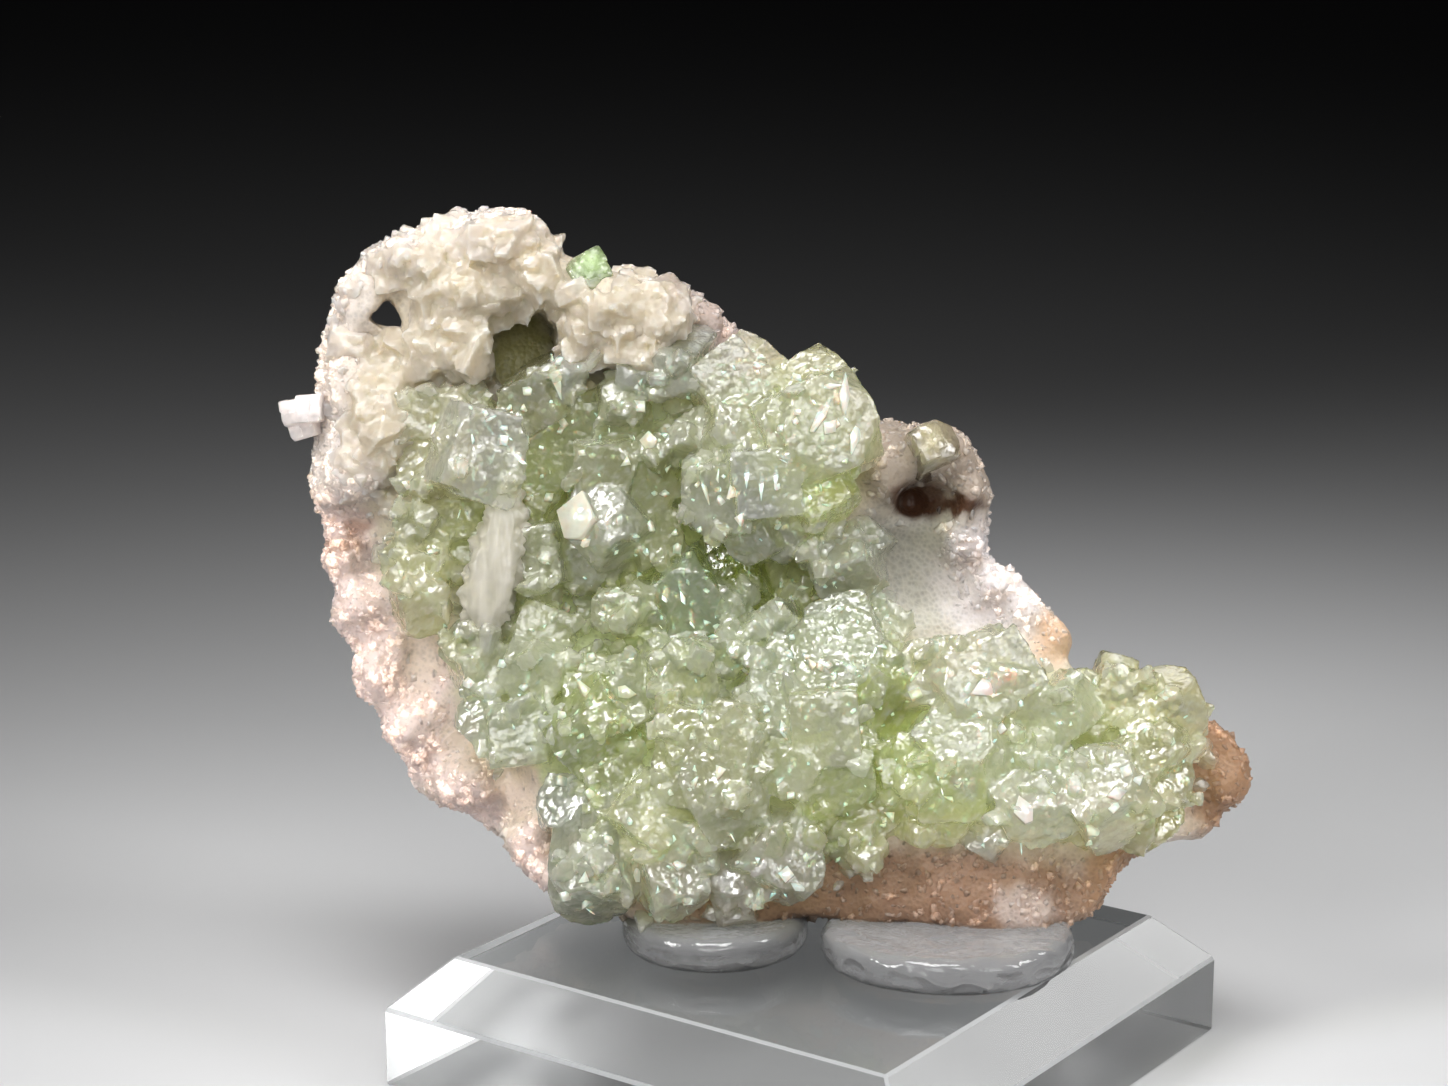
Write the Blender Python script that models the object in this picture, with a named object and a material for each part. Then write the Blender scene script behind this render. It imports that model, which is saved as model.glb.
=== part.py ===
"""A green apophyllite specimen fixed on a clear acrylic display base.

The stone is a plate of host rock that stands on its long lower edge and leans back a little. Its front is a
hollow lined with green apophyllite crystals; the rock shows round them as a cream crust, a pink sugary rim,
a lilac fan and a brown underside. Two pads of clear glue hold it on a square block with bevelled top edges.

The frame's origin is the middle of the block's underside, +Z is up and the crystals face -Y.
"""

import math
import random

import bmesh
import bpy
import numpy
from mathutils import Matrix, Vector, noise

MM = 0.001

# Display base: a square block of clear acrylic, turned on the table
BASE_SIDE = 60.0
BASE_WALL = 8.0
BASE_BEVEL = 5.0
BASE_TURN = 54.5
BASE_HEIGHT = BASE_WALL + BASE_BEVEL

# The stone's face: where its middle is, how far it leans back, and how far off it is looked at. Places on the
# stone are (across, up, out) in millimetres as they are seen from that distance: what stands out is drawn in.
FACE_MIDDLE = (-8.5, 9.6, 50.9)
FACE_LEAN = 13.25
SEEN_FROM = 300.0

# Room left between two pieces that touch
GAP = 0.3

# The glue pads: middle across the block's top and half sizes, as (x, y, half width, half depth)
PADS = {"glue_pad_left": (-9.4, -3.2, 9.2, 9.3), "glue_pad_right": (13.2, -7.6, 12.3, 10.6)}
PAD_TOP = 17.0
PAD_SIDES = 30
PAD_UNEVEN = 0.05
# The pad's side from its foot to the edge of its top, as (share of the radius, share of the height)
PAD_PROFILE = ((0.94, 0.0), (0.99, 0.14), (1.0, 0.36), (0.97, 0.64), (0.9, 0.86), (0.78, 0.98), (0.4, 1.0))

# Outline of the rock, clockwise from the left, as (across, up)
ROCK_OUTLINE = (
    (-40.6, 14.3), (-40.5, 17.3), (-40.1, 20.1), (-39.3, 22.7), (-39.6, 24.3), (-37.9, 26.8),
    (-36.0, 28.6), (-33.9, 29.6), (-32.4, 30.9), (-30.6, 31.7), (-28.4, 32.2), (-26.2, 32.7),
    (-24.2, 33.6), (-21.9, 33.8), (-20.2, 33.6), (-18.9, 32.2), (-17.6, 30.9), (-16.4, 28.8),
    (-14.9, 27.2), (-11.2, 27.5), (-9.2, 27.1), (-7.4, 26.4), (-6.2, 26.6), (-4.2, 26.1),
    (-3.6, 25.0), (-1.9, 24.3), (-1.0, 23.3), (1.8, 20.7), (6.6, 18.3), (11.1, 15.3),
    (14.6, 12.3), (18.1, 11.9), (21.1, 11.2), (23.1, 10.3), (24.0, 8.7), (25.4, 6.8),
    (26.2, 5.1), (26.5, 3.0), (25.9, 0.3), (26.8, -2.2), (28.8, -4.2), (30.8, -6.3),
    (32.2, -7.8), (33.6, -11.4), (36.1, -13.4), (40.6, -15.2), (44.1, -15.0), (46.6, -16.6),
    (48.8, -19.5), (51.6, -21.4), (52.7, -23.5), (51.8, -25.0), (49.4, -27.0), (47.6, -29.0),
    (44.6, -30.0), (41.1, -30.9), (39.2, -32.5), (38.2, -35.5), (36.1, -37.7), (32.1, -38.9),
    (28.8, -39.8), (25.1, -39.2), (21.6, -38.4), (16.6, -38.2), (12.6, -38.3), (8.8, -37.2),
    (3.6, -38.3), (-1.4, -39.7), (-5.9, -39.2), (-10.4, -37.2), (-14.9, -35.8), (-17.6, -35.0),
    (-18.9, -32.5), (-20.9, -30.2), (-23.4, -28.5), (-26.4, -26.6), (-29.9, -25.6), (-30.9, -22.7),
    (-32.9, -19.7), (-34.1, -17.2), (-36.1, -14.9), (-36.7, -12.2), (-37.4, -9.5), (-38.9, -7.2),
    (-38.7, -4.2), (-40.1, -0.9), (-39.1, 1.1), (-41.1, 4.3), (-41.5, 6.5), (-40.9, 9.1),
)

# How far the rock's front stands out at some places, as (across, up, out)
ROCK_FRONT = (
    (-38, 20, 0.5), (-33, 26, 3), (-25, 29, 4.5), (-19, 29, 3), (-37, 13, 1), (-33, 8, 0.5),
    (-20, 19, -3), (-29, 13, 1), (-20, 9, -1), (-10, 22, 2.5), (-2, 20, -1.5), (4, 16, 2.5),
    (11, 11, 4), (9, 5, 3.5), (-15, 0, -2), (-3, -3, -3.5), (5, -5, -3), (20, 8, 2.5),
    (24, 3, 0.5), (20, -4, -1.5), (27, -7, -1), (22, -10, 0), (-38, -3, -4), (-32, -6, -0.5),
    (-35, -13, -4), (-29, -17, -0.5), (-25, -24, -2), (-18, -31, 1), (-26, -5, -0.5), (-23, -13, 1),
    (-16, -22, 4), (-5, -24, 8), (5, -23, 9), (13, -21, 9), (22, -19, 9), (31, -20, 9),
    (40, -20, 7), (46, -20, 5), (-10, -12, 1), (3, -12, 2), (12, -12, 2), (30, -12, 3),
    (-8, -34, 9), (5, -34, 8.5), (15, -33, 9), (28, -33, 10), (36, -33, 8), (10, -38, 8.5),
    (28, -39, 10.5), (50, -23, 3),
)

# How far back the rock reaches, as (across, up, out)
ROCK_BACK = (
    (-36, 22, -6), (-24, 29, -7), (-38, 10, -7), (-36, -3, -9), (-15, 8, -12), (0, 12, -12),
    (2, -8, -15), (15, 5, -11), (24, 4, -8), (20, -14, -13), (35, -20, -9), (48, -23, -4),
    (-25, -20, -11), (-12, -28, -11), (3, -34, -9), (18, -34, -8), (30, -34, -6),
)

# The plate before its levels are set, and how it thins to its edge: over what width, and to what share
PLATE_HALF = 12.0
EDGE_ROUND = 5.0
EDGE_THICKNESS = 0.3
# Where the edge lies between back (0) and front (1), higher up and at the foot, and where the foot begins
EDGE_FORWARD = 0.6
FOOT_FORWARD = 0.96
FOOT_BELOW = -27.0
FOOT_BLEND = 8.0

# The rock's foot: its lowest level above the table, and how little it bulges below that
FOOT_LEVEL = 16.1
FOOT_BULGE = 0.12

# Lumps that stand on the plate: (across, up, out) and half sizes along the same three
ROCK_LUMPS = (
    # The cream crust's rim, its roof over the cave, and the two columns that hang in it
    (-36.5, 24.0, 0.5, 2.6, 3.2, 3.6), (-31.0, 28.2, 2.5, 4.2, 2.6, 3.6),
    (-22.5, 30.2, 3.0, 4.6, 3.2, 4.4), (-37.6, 16.5, 0.5, 2.4, 5.0, 3.4),
    (-34.0, 12.0, 1.5, 3.0, 5.5, 3.0), (-17.0, 26.2, 3.0, 4.6, 3.0, 4.0),
    (-25.6, 24.6, 2.5, 4.6, 3.0, 3.6), (-25.4, 20.4, 2.8, 2.0, 4.4, 2.2),
    (-29.4, 20.2, 1.6, 3.2, 4.0, 2.6), (-36.8, 8.0, 0.5, 3.4, 4.0, 3.0),
    # The knobbly cream lump at the top and the bare ridge behind it
    (-11.6, 23.4, 4.0, 3.6, 4.0, 4.4), (-6.8, 23.2, 4.0, 3.2, 3.6, 3.8),
    (-14.2, 20.2, 3.8, 2.0, 3.0, 3.0), (-9.4, 19.6, 3.4, 3.6, 2.4, 3.2),
    (-2.2, 22.4, -1.5, 2.4, 2.2, 3.0),
    # The lobes at the right, the knob on them, and the nub at the fan's corner
    (21.0, 9.0, 2.5, 4.6, 3.0, 3.6), (24.2, 5.0, 0.5, 2.6, 4.2, 4.0),
    (16.2, 7.0, 2.5, 3.2, 4.0, 3.0), (24.0, 0.6, 0.0, 2.6, 2.4, 3.6),
    (33.4, -9.2, 0.5, 1.6, 2.0, 1.9), (34.1, -10.2, 0.0, 1.2, 1.2, 1.6),
    # The fan's sparkling edge
    (27.5, -4.0, 0.2, 2.6, 2.2, 2.0), (30.5, -7.0, 0.4, 2.4, 2.4, 2.0),
    # The orange tip
    (50.0, -23.4, 1.5, 3.0, 3.2, 3.4), (46.6, -28.0, 0.5, 2.4, 2.2, 3.0),
    (48.6, -19.6, 1.0, 2.4, 2.2, 3.0),
    # The pink sugary rim of the left edge
    (-39.4, 5.4, -2.5, 2.2, 2.6, 3.2), (-38.0, -1.2, -3.0, 2.4, 2.6, 3.6),
    (-36.6, -6.8, -2.5, 2.8, 3.4, 3.6), (-34.6, -13.0, -2.5, 2.8, 3.4, 3.6),
    (-31.2, -18.2, -2.5, 3.0, 3.4, 3.6), (-29.4, -23.6, -5.0, 1.8, 2.2, 2.6),
    (-25.6, -23.8, -1.5, 3.4, 2.8, 3.4), (-19.6, -29.6, 0.5, 2.8, 3.2, 3.4),
    (-17.0, -33.2, 1.5, 1.9, 2.2, 3.0),
    # The brown underside's swells
    (30.0, -34.6, 5.0, 6.0, 4.4, 4.4), (16.0, -34.0, 4.6, 8.0, 3.8, 4.2),
    (2.0, -35.0, 4.0, 7.0, 3.6, 4.2),
    # Swells of the back
    (-16.0, 10.0, -11.0, 11.0, 9.0, 4.0), (6.0, -6.0, -13.0, 12.0, 9.0, 4.0),
    (26.0, -22.0, -9.0, 11.0, 7.0, 4.0), (-20.0, -16.0, -10.0, 8.0, 8.0, 4.0),
    (2.0, -28.0, -10.0, 9.0, 6.0, 3.6),
)

# Hollows cut into the rock, in the same way as the lumps
ROCK_HOLLOWS = (
    # The cave under the crust and the pocket of the right lobe, with its deep end
    (-20.2, 19.2, 2.6, 3.0, 3.6, 6.0), (20.6, 4.4, 4.6, 3.6, 1.9, 4.4), (18.9, 4.2, 2.2, 1.7, 1.9, 4.6),
    # The small brown hollow of the left rim
    (-37.2, 2.0, 0.6, 1.6, 1.2, 2.6),
)

# The hole through the crust: its corners as (across, up), drawn from in front of the rock to behind it
HOLE_CORNERS = ((-35.9, 22.2), (-34.8, 23.6), (-33.8, 24.8), (-33.0, 24.2), (-31.8, 22.4), (-32.4, 21.2))
HOLE_NEAR = 15.0
HOLE_FAR = -20.0

# Unevenness of the bare rock: its two sizes, and its height on crust and back, on smooth rock, under crystals
KNOB_SIZES = (2.6, 1.3)
KNOB_HEIGHT = 0.55
SMOOTH_HEIGHT = 0.2
COVERED_HEIGHT = 0.1
# The smooth rock of the underside and of the fan, as (left, right, bottom, top)
SMOOTH_ROCK = ((-8.0, 60.0, -45.0, -29.0), (16.0, 33.0, -12.0, 1.0))

# Where the green crystals grow: the rock is plain under them
DRUSE_OUTLINE = (
    (-33.0, 14.5), (-27.5, 16.5), (-22.5, 16.0), (-16.5, 18.0), (-8.5, 18.0), (-2.5, 18.5),
    (3.5, 18.5), (10.5, 17.0), (14.5, 13.5), (15.5, 10.5), (12.0, 6.5), (10.0, 2.5),
    (15.5, 0.5), (16.0, -5.5), (20.5, -9.5), (27.5, -9.5), (33.5, -12.0), (40.5, -12.5),
    (47.0, -16.0), (48.0, -21.5), (46.0, -25.5), (39.5, -30.0), (33.5, -28.5), (25.5, -29.5),
    (17.5, -29.0), (13.5, -32.5), (7.5, -34.0), (3.5, -36.0), (-3.5, -37.0), (-10.5, -37.0),
    (-16.0, -35.0), (-16.5, -28.5), (-17.5, -22.5), (-22.5, -24.0), (-23.5, -20.5), (-26.0, -16.0),
    (-27.5, -9.5), (-32.5, -5.5), (-35.0, -1.5), (-33.5, 2.5), (-32.5, 8.5),
)

# The larger crystals: (across, up, out) of the middle of the end face, and the width. Each stands on the rock
# with a lean and a turn that follow from its number in the list.
CRYSTALS = (
    # Upper left, under the cream crust
    (-30.0, 13.0, 4.0, 5.0), (-30.4, 8.4, 4.0, 5.4), (-23.3, 9.3, 7.5, 7.6), (-19.7, 13.6, 5.5, 5.4),
    (-31.0, 2.3, 4.0, 3.0), (-27.2, 3.2, 2.0, 5.4), (-32.6, -2.0, 3.5, 4.2), (-29.8, -3.4, 4.0, 4.6),
    (-25.6, 14.2, 3.0, 4.4), (-26.6, -1.6, 1.5, 4.4), (-29.6, -7.4, 4.0, 4.6), (-26.2, -10.6, 4.5, 4.8),
    # Upper middle
    (-10.0, 15.0, 6.0, 4.4), (-8.3, 17.8, 6.0, 3.4), (-5.8, 16.8, 6.5, 4.6), (-3.2, 17.6, 5.5, 3.4),
    (-7.1, 9.7, 6.0, 3.2), (-12.2, 7.0, 6.0, 5.6), (-7.6, 5.6, 4.0, 5.6), (-2.8, 12.0, 5.5, 4.2),
    (-6.6, 1.0, 3.5, 5.4), (-14.4, -2.8, 3.0, 5.2), (-19.2, -1.8, 5.0, 5.4), (-18.4, 6.0, 2.0, 5.0),
    (-11.4, -6.8, 5.5, 4.4), (-8.2, -8.4, 4.5, 4.6), (-18.0, -8.8, 4.5, 5.4), (0.4, -1.8, 2.0, 5.6),
    # The ridge at the upper right
    (4.4, 16.6, 5.5, 5.2), (-0.6, 4.2, 9.0, 7.4),
    (9.0, 6.6, 9.0, 6.4), (2.2, 12.2, 8.5, 5.6), (2.2, 0.2, 6.5, 5.0), (6.0, 1.2, 6.0, 4.6),
    (9.4, 0.8, 4.5, 4.2), (13.6, 0.4, 3.0, 4.4), (1.2, -6.6, 4.5, 3.2), (4.6, -8.4, 5.5, 4.6),
    # The lower ridge, left half
    (5.6, -12.4, 8.5, 4.8), (-3.4, -14.2, 9.5, 5.8), (-0.2, -11.6, 7.0, 4.2), (-8.6, -13.6, 6.5, 5.4),
    (-13.2, -13.6, 6.5, 5.8), (-19.4, -13.4, 6.0, 6.0), (-23.6, -12.8, 5.0, 4.8), (-24.8, -17.0, 5.0, 5.0),
    (-20.2, -19.0, 6.5, 6.4), (-12.6, -20.4, 10.0, 7.6), (-2.6, -21.8, 14.5, 9.6), (2.6, -20.0, 14.0, 6.6),
    (5.8, -23.0, 14.0, 5.0), (11.4, -23.8, 13.5, 7.0), (-6.8, -26.6, 13.0, 6.6), (-16.4, -25.6, 8.0, 5.6),
    (1.0, -27.4, 14.0, 6.6), (-4.4, -31.4, 12.0, 6.8), (0.6, -32.6, 11.5, 5.6), (7.0, -31.0, 13.5, 7.2),
    (12.6, -30.6, 11.5, 4.6), (14.6, -27.2, 11.0, 5.0), (5.0, -16.4, 12.0, 5.6), (10.4, -14.2, 11.0, 5.0),
    # The lower ridge, right half
    (16.9, -16.4, 10.5, 6.6), (21.4, -12.6, 11.0, 6.6), (23.6, -18.8, 13.5, 7.0), (29.6, -15.6, 12.5, 6.0),
    (33.0, -17.6, 12.5, 5.4), (36.0, -15.8, 9.0, 6.0), (18.0, -21.8, 11.5, 4.8), (21.4, -28.0, 11.5, 5.4),
    (26.4, -23.2, 13.0, 5.6), (37.2, -23.4, 14.5, 7.4), (40.2, -15.6, 9.5, 5.6), (45.4, -18.0, 9.0, 6.4),
    (41.6, -20.8, 11.5, 5.6), (44.6, -22.8, 10.0, 5.6), (36.4, -27.6, 11.0, 5.6), (40.2, -28.2, 10.0, 5.6),
    (43.6, -26.6, 8.5, 5.0), (25.6, -28.6, 10.5, 4.6), (17.4, -27.4, 10.0, 4.2), (32.6, -21.4, 12.0, 4.6),
)

# Crystals that stand in a way of their own: (across, up, out) of the end face's middle, width, length, lean
# to the right, lean upward, turn, and how much of each corner is cut off
SET_CRYSTALS = (
    (-15.2, 18.2, 6.0, 3.0, 7.5, 25, 48, 20, 0.3),
    (-16.4, 9.6, 3.4, 8.8, 7.0, 0, -8, 2, 0.1),
    (-10.6, 10.0, 3.8, 4.6, 7.0, 4, -6, 4, 0.12),
    (-13.0, 2.8, 6.5, 7.2, 9.0, -18, 12, 40, 0.45),
    (1.0, 16.4, 7.5, 6.6, 9.0, 4, 12, 42, 0.42),
    (9.4, 16.4, 6.5, 6.6, 9.0, 2, 14, 40, 0.4),
    (10.7, 12.0, 11.5, 9.6, 10.0, 10, 4, 22, 0.42),
    (4.5, 5.8, 11.0, 6.4, 10.0, 6, -4, 4, 0.12),
    (12.5, -4.4, 5.0, 6.4, 9.0, 4, -38, 30, 0.46),
    (-3.9, -6.6, 4.0, 7.8, 8.0, -6, -18, 38, 0.3),
    (11.2, -10.4, 10.5, 8.6, 10.0, -12, 22, 20, 0.28),
    (10.1, -18.4, 15.0, 6.6, 9.0, -3, -4, 4, 0.14),
    (26.2, -13.2, 13.0, 8.8, 10.0, 8, 14, 30, 0.4),
    (22.7, -24.6, 13.5, 6.6, 9.0, 0, -8, 3, 0.12),
    (31.4, -28.4, 14.0, 6.2, 10.0, 14, -38, 25, 0.46),
    (-12.8, -36.0, 11.5, 7.2, 13.0, -6, -58, 30, 0.36),
    (-4.4, -36.6, 12.0, 5.4, 11.0, 32, -52, 15, 0.45),
)

# The crystals that stand by themselves, in the same way as SET_CRYSTALS
CREST_CRYSTALS = ((-13.4, 27.4, 7.0, 3.8, 7.0, 6, 20, 30, 0.3),)
LOBE_CRYSTALS = ((21.3, 10.4, 6.4, 4.2, 5.0, 12, 26, 20, 0.34),)
TABLET_CRYSTALS = (
    (-43.2, 13.2, 1.2, 2.4, 4.2, -14, 6, 10, 0.16), (-41.6, 13.6, 1.6, 2.6, 4.6, -6, 4, 4, 0.14),
    (-42.4, 11.8, 0.6, 2.8, 4.0, -18, -10, 14, 0.2),
)

# The stilbite blade: its outline as (across, up), and how far out its back and front are
BLADE_OUTLINE = (
    (-22.6, 5.4), (-20.9, 5.2), (-19.9, 3.0), (-20.1, -0.6), (-20.6, -3.8), (-21.8, -7.0), (-23.2, -9.1),
    (-24.6, -8.9), (-25.8, -7.0), (-26.1, -4.6), (-25.2, -1.8), (-24.3, 1.0), (-23.4, 3.4),
)
BLADE_BACK = 1.4
BLADE_FRONT = 6.4
BLADE_CROWN = 0.8

# Small crystals fill the bed between the larger ones: the first spot, the spacing, how far a spot strays in
# spacings, the width, how close to another one a crystal may stand and how far it stands out, both in widths
FILL_FROM = (-45.0, -42.0)
FILL_STEP = 4.4
FILL_ROWS = 22
FILL_STRAY = 0.3
FILL_WIDTH = (3.2, 4.4)
FILL_CROWDED = 0.34
FILL_STANDS = 0.75
# Most lean of a crystal in degrees, how much of its corners is cut off, its least length in widths, its root,
# and the steps in turns by which lean, turn and corners differ from one crystal to the next
CRYSTAL_LEAN = 26.0
CRYSTAL_CORNER = (0.2, 0.42)
CRYSTAL_LEAST = 0.6
ROOT = 2.0
LEAN_STEPS = (0.618, 0.271)
TURN_STEP = 0.414
CORNER_STEP = 0.732

# Facet sizes of the rock's plate, of its lumps, of its hollows, of its skin and of the skin kept clear of it
PLATE_VOXEL = 1.0
LUMP_VOXEL = 0.9
HOLLOW_VOXEL = 0.5
SKIN_VOXEL = 0.8
CLEARANCE_VOXEL = 0.7
ROCK_FACES = 2900
CLEARANCE_FACES = 1500
# What thinning to fewer facets may take off the room kept to the rock, and off that kept to the blade
ROCK_ALLOWANCE = 0.3
BLADE_ALLOWANCE = 0.1
SEED = 7


def face_to_world():
    """The matrix from (across, up, out) in millimetres to the part's frame in metres."""
    lean = Matrix.Rotation(math.radians(90.0 - FACE_LEAN), 4, "X")
    return Matrix.Diagonal((MM, MM, MM, 1.0)) @ Matrix.Translation(FACE_MIDDLE) @ lean


FACE = face_to_world()


def seen(across, up, out):
    """The point, in the face's own millimetres, that is seen at (across, up) and stands out by out."""
    draw = 1.0 - out / SEEN_FROM
    return Vector((across * draw, up * draw, out))


def material(name, colour, roughness, see_through=0.0, ior=1.5):
    """A Principled material in one colour."""
    made = bpy.data.materials.new(name)
    made.use_nodes = True
    shader = made.node_tree.nodes["Principled BSDF"]
    shader.inputs["Base Color"].default_value = (*colour, 1.0)
    shader.inputs["Roughness"].default_value = roughness
    shader.inputs["Metallic"].default_value = 0.0
    shader.inputs["Transmission Weight"].default_value = see_through
    shader.inputs["IOR"].default_value = ior
    made.diffuse_color = (*colour, 1.0)
    return made


def add_object(name, bm, finish=None):
    """A new object holding the bmesh, with its material."""
    mesh = bpy.data.meshes.new(name)
    bm.to_mesh(mesh)
    bm.free()
    made = bpy.data.objects.new(name, mesh)
    bpy.context.collection.objects.link(made)
    if finish:
        mesh.materials.append(finish)
    return made


def as_helper(made):
    """Marks an object as a cutter or guide that isn't part of the model."""
    made.hide_render = True
    made.display_type = "WIRE"
    return made


def evaluated_bmesh(made):
    """A bmesh of the object as its modifiers leave it."""
    bpy.context.view_layer.update()
    graph = bpy.context.evaluated_depsgraph_get()
    bm = bmesh.new()
    bm.from_object(made, graph)
    return bm


def remeshed(bm, voxel):
    """The bmesh's bodies joined into one skin of even facets."""
    guide = as_helper(add_object("remesh_guide", bm))
    modifier = guide.modifiers.new("Skin", "REMESH")
    modifier.mode = "VOXEL"
    modifier.voxel_size = voxel
    skin = evaluated_bmesh(guide)
    bpy.data.objects.remove(guide)
    return skin


def cut(bm, cutter):
    """The bmesh with the cutter's body taken away."""
    guide = as_helper(add_object("cut_guide", bm))
    tool = as_helper(add_object("cut_tool", cutter))
    modifier = guide.modifiers.new("Cut", "BOOLEAN")
    modifier.operation = "DIFFERENCE"
    modifier.object = tool
    left = evaluated_bmesh(guide)
    bpy.data.objects.remove(guide)
    bpy.data.objects.remove(tool)
    return left


def bodies_of(bm):
    """The bmesh's separate bodies, each a set of vertices, from the smallest to the largest."""
    bm.verts.ensure_lookup_table()
    unseen = set(bm.verts)
    bodies = []
    for start in bm.verts:
        if start not in unseen:
            continue
        body = {start}
        edge_of = [start]
        while edge_of:
            vertex = edge_of.pop()
            for edge in vertex.link_edges:
                other = edge.other_vert(vertex)
                if other not in body:
                    body.add(other)
                    edge_of.append(other)
        bodies.append(body)
        unseen -= body
    return sorted(bodies, key=len)


def keep_largest(bm):
    """Takes away every loose crumb but the largest body."""
    crumbs = [v for body in bodies_of(bm)[:-1] for v in body]
    bmesh.ops.delete(bm, geom=crumbs, context="VERTS")


def make_base():
    """The acrylic block: a square with a straight wall and a wide bevel round its top."""
    bm = bmesh.new()
    bmesh.ops.create_cube(bm, size=1.0)
    size = Vector((BASE_SIDE, BASE_SIDE, BASE_HEIGHT)) * MM
    bmesh.ops.scale(bm, vec=size, verts=bm.verts)
    bmesh.ops.translate(bm, vec=(0.0, 0.0, size.z / 2.0), verts=bm.verts)
    top = [e for e in bm.edges if all(v.co.z > size.z * 0.9 for v in e.verts)]
    bmesh.ops.bevel(bm, geom=top, offset=BASE_BEVEL * MM, segments=1, affect="EDGES", profile=0.5)
    base = add_object("display_base", bm, material("clear_acrylic", (0.95, 0.97, 0.98), 0.03, 1.0, 1.49))
    base.rotation_euler.z = math.radians(BASE_TURN)
    return base


def levels(places, spots, blend=2.4):
    """The level at each place, blended from the spots near it."""
    spots = numpy.array(spots, dtype=float)
    far = ((places[:, None, :] - spots[None, :, :2]) ** 2).sum(axis=2) + 2.0
    share = far ** -blend
    return (share * spots[None, :, 2]).sum(axis=1) / share.sum(axis=1)


def edge_distance(places, outline):
    """How far each place is from the outline's sides."""
    corners = numpy.array(outline, dtype=float)
    nearest = numpy.full(len(places), 1e9)
    for start, end in zip(corners, numpy.roll(corners, -1, axis=0)):
        side = end - start
        along = ((places - start) @ side) / (side @ side)
        foot = start + numpy.clip(along, 0.0, 1.0)[:, None] * side
        nearest = numpy.minimum(nearest, numpy.sqrt(((places - foot) ** 2).sum(axis=1)))
    return nearest


def rock_plate():
    """The plate of rock: its outline drawn out, then its front and back set to their levels."""
    bm = bmesh.new()
    rim = [bm.verts.new((a, u, -PLATE_HALF)) for a, u in ROCK_OUTLINE]
    face = bm.faces.new(rim)
    grown = bmesh.ops.extrude_face_region(bm, geom=[face])["geom"]
    raised = [part for part in grown if isinstance(part, bmesh.types.BMVert)]
    bmesh.ops.translate(bm, vec=(0.0, 0.0, 2.0 * PLATE_HALF), verts=raised)
    bmesh.ops.recalc_face_normals(bm, faces=bm.faces)
    bm = remeshed(bm, PLATE_VOXEL)
    spots = numpy.array([v.co[:] for v in bm.verts])
    places = spots[:, :2]
    front = levels(places, ROCK_FRONT)
    back = levels(places, ROCK_BACK)
    depth = numpy.clip(edge_distance(places, ROCK_OUTLINE) / EDGE_ROUND, 0.0, 1.0)
    thick = EDGE_THICKNESS + (1.0 - EDGE_THICKNESS) * numpy.sqrt(1.0 - (1.0 - depth) ** 2)
    at_foot = numpy.clip((FOOT_BELOW - places[:, 1]) / FOOT_BLEND, 0.0, 1.0)
    forward = EDGE_FORWARD + (FOOT_FORWARD - EDGE_FORWARD) * at_foot
    middle = forward * front + (1.0 - forward) * back
    share = spots[:, 2] / PLATE_HALF
    reach = numpy.where(share > 0.0, front - middle, back - middle)
    outs = middle + reach * numpy.abs(share) * thick
    for vertex, out in zip(bm.verts, outs):
        vertex.co = seen(vertex.co.x, vertex.co.y, out)
    return bm


def add_lumps(bm, lumps):
    """Rounded lumps in the bmesh, each at its place with its half sizes."""
    for across, up, out, wide, tall, deep in lumps:
        spot = Matrix.Translation(seen(across, up, out))
        shape = Matrix.Diagonal((wide, tall, deep, 1.0))
        bmesh.ops.create_icosphere(bm, subdivisions=3, radius=1.0, matrix=spot @ shape)


def hole_cutter():
    """The prism that opens the hole through the crust."""
    bm = bmesh.new()
    near = [bm.verts.new(seen(a, u, HOLE_NEAR)) for a, u in HOLE_CORNERS]
    far = [bm.verts.new(seen(a, u, HOLE_FAR)) for a, u in HOLE_CORNERS]
    bm.faces.new(near)
    bm.faces.new(list(reversed(far)))
    count = len(near)
    for k in range(count):
        bm.faces.new((near[(k + 1) % count], near[k], far[k], far[(k + 1) % count]))
    bmesh.ops.recalc_face_normals(bm, faces=bm.faces)
    return bm


def inside(place, outline):
    """Whether a flat place lies inside the outline."""
    across, up = place
    within = False
    for (a0, u0), (a1, u1) in zip(outline, outline[1:] + outline[:1]):
        if (u0 > up) != (u1 > up) and across < a0 + (up - u0) * (a1 - a0) / (u1 - u0):
            within = not within
    return within


def knob_height(across, up):
    """How uneven the rock's front is at a place."""
    if inside((across, up), DRUSE_OUTLINE):
        return COVERED_HEIGHT
    for left, right, bottom, top in SMOOTH_ROCK:
        if left < across < right and bottom < up < top:
            return SMOOTH_HEIGHT
    return KNOB_HEIGHT


def roughen_rock(bm):
    """Uneven ground on the bare rock: knobs on crust, rim and back, fine waves on fan and underside."""
    bm.normal_update()
    coarse, fine = KNOB_SIZES
    moves = []
    for vertex in bm.verts:
        knobs = noise.noise(vertex.co / coarse) + 0.6 * noise.noise(vertex.co / fine)
        on_front = vertex.normal.z > 0.0
        height = knob_height(vertex.co.x, vertex.co.y) if on_front else KNOB_HEIGHT
        moves.append(vertex.normal * knobs * height)
    for vertex, move in zip(bm.verts, moves):
        vertex.co += move


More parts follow.
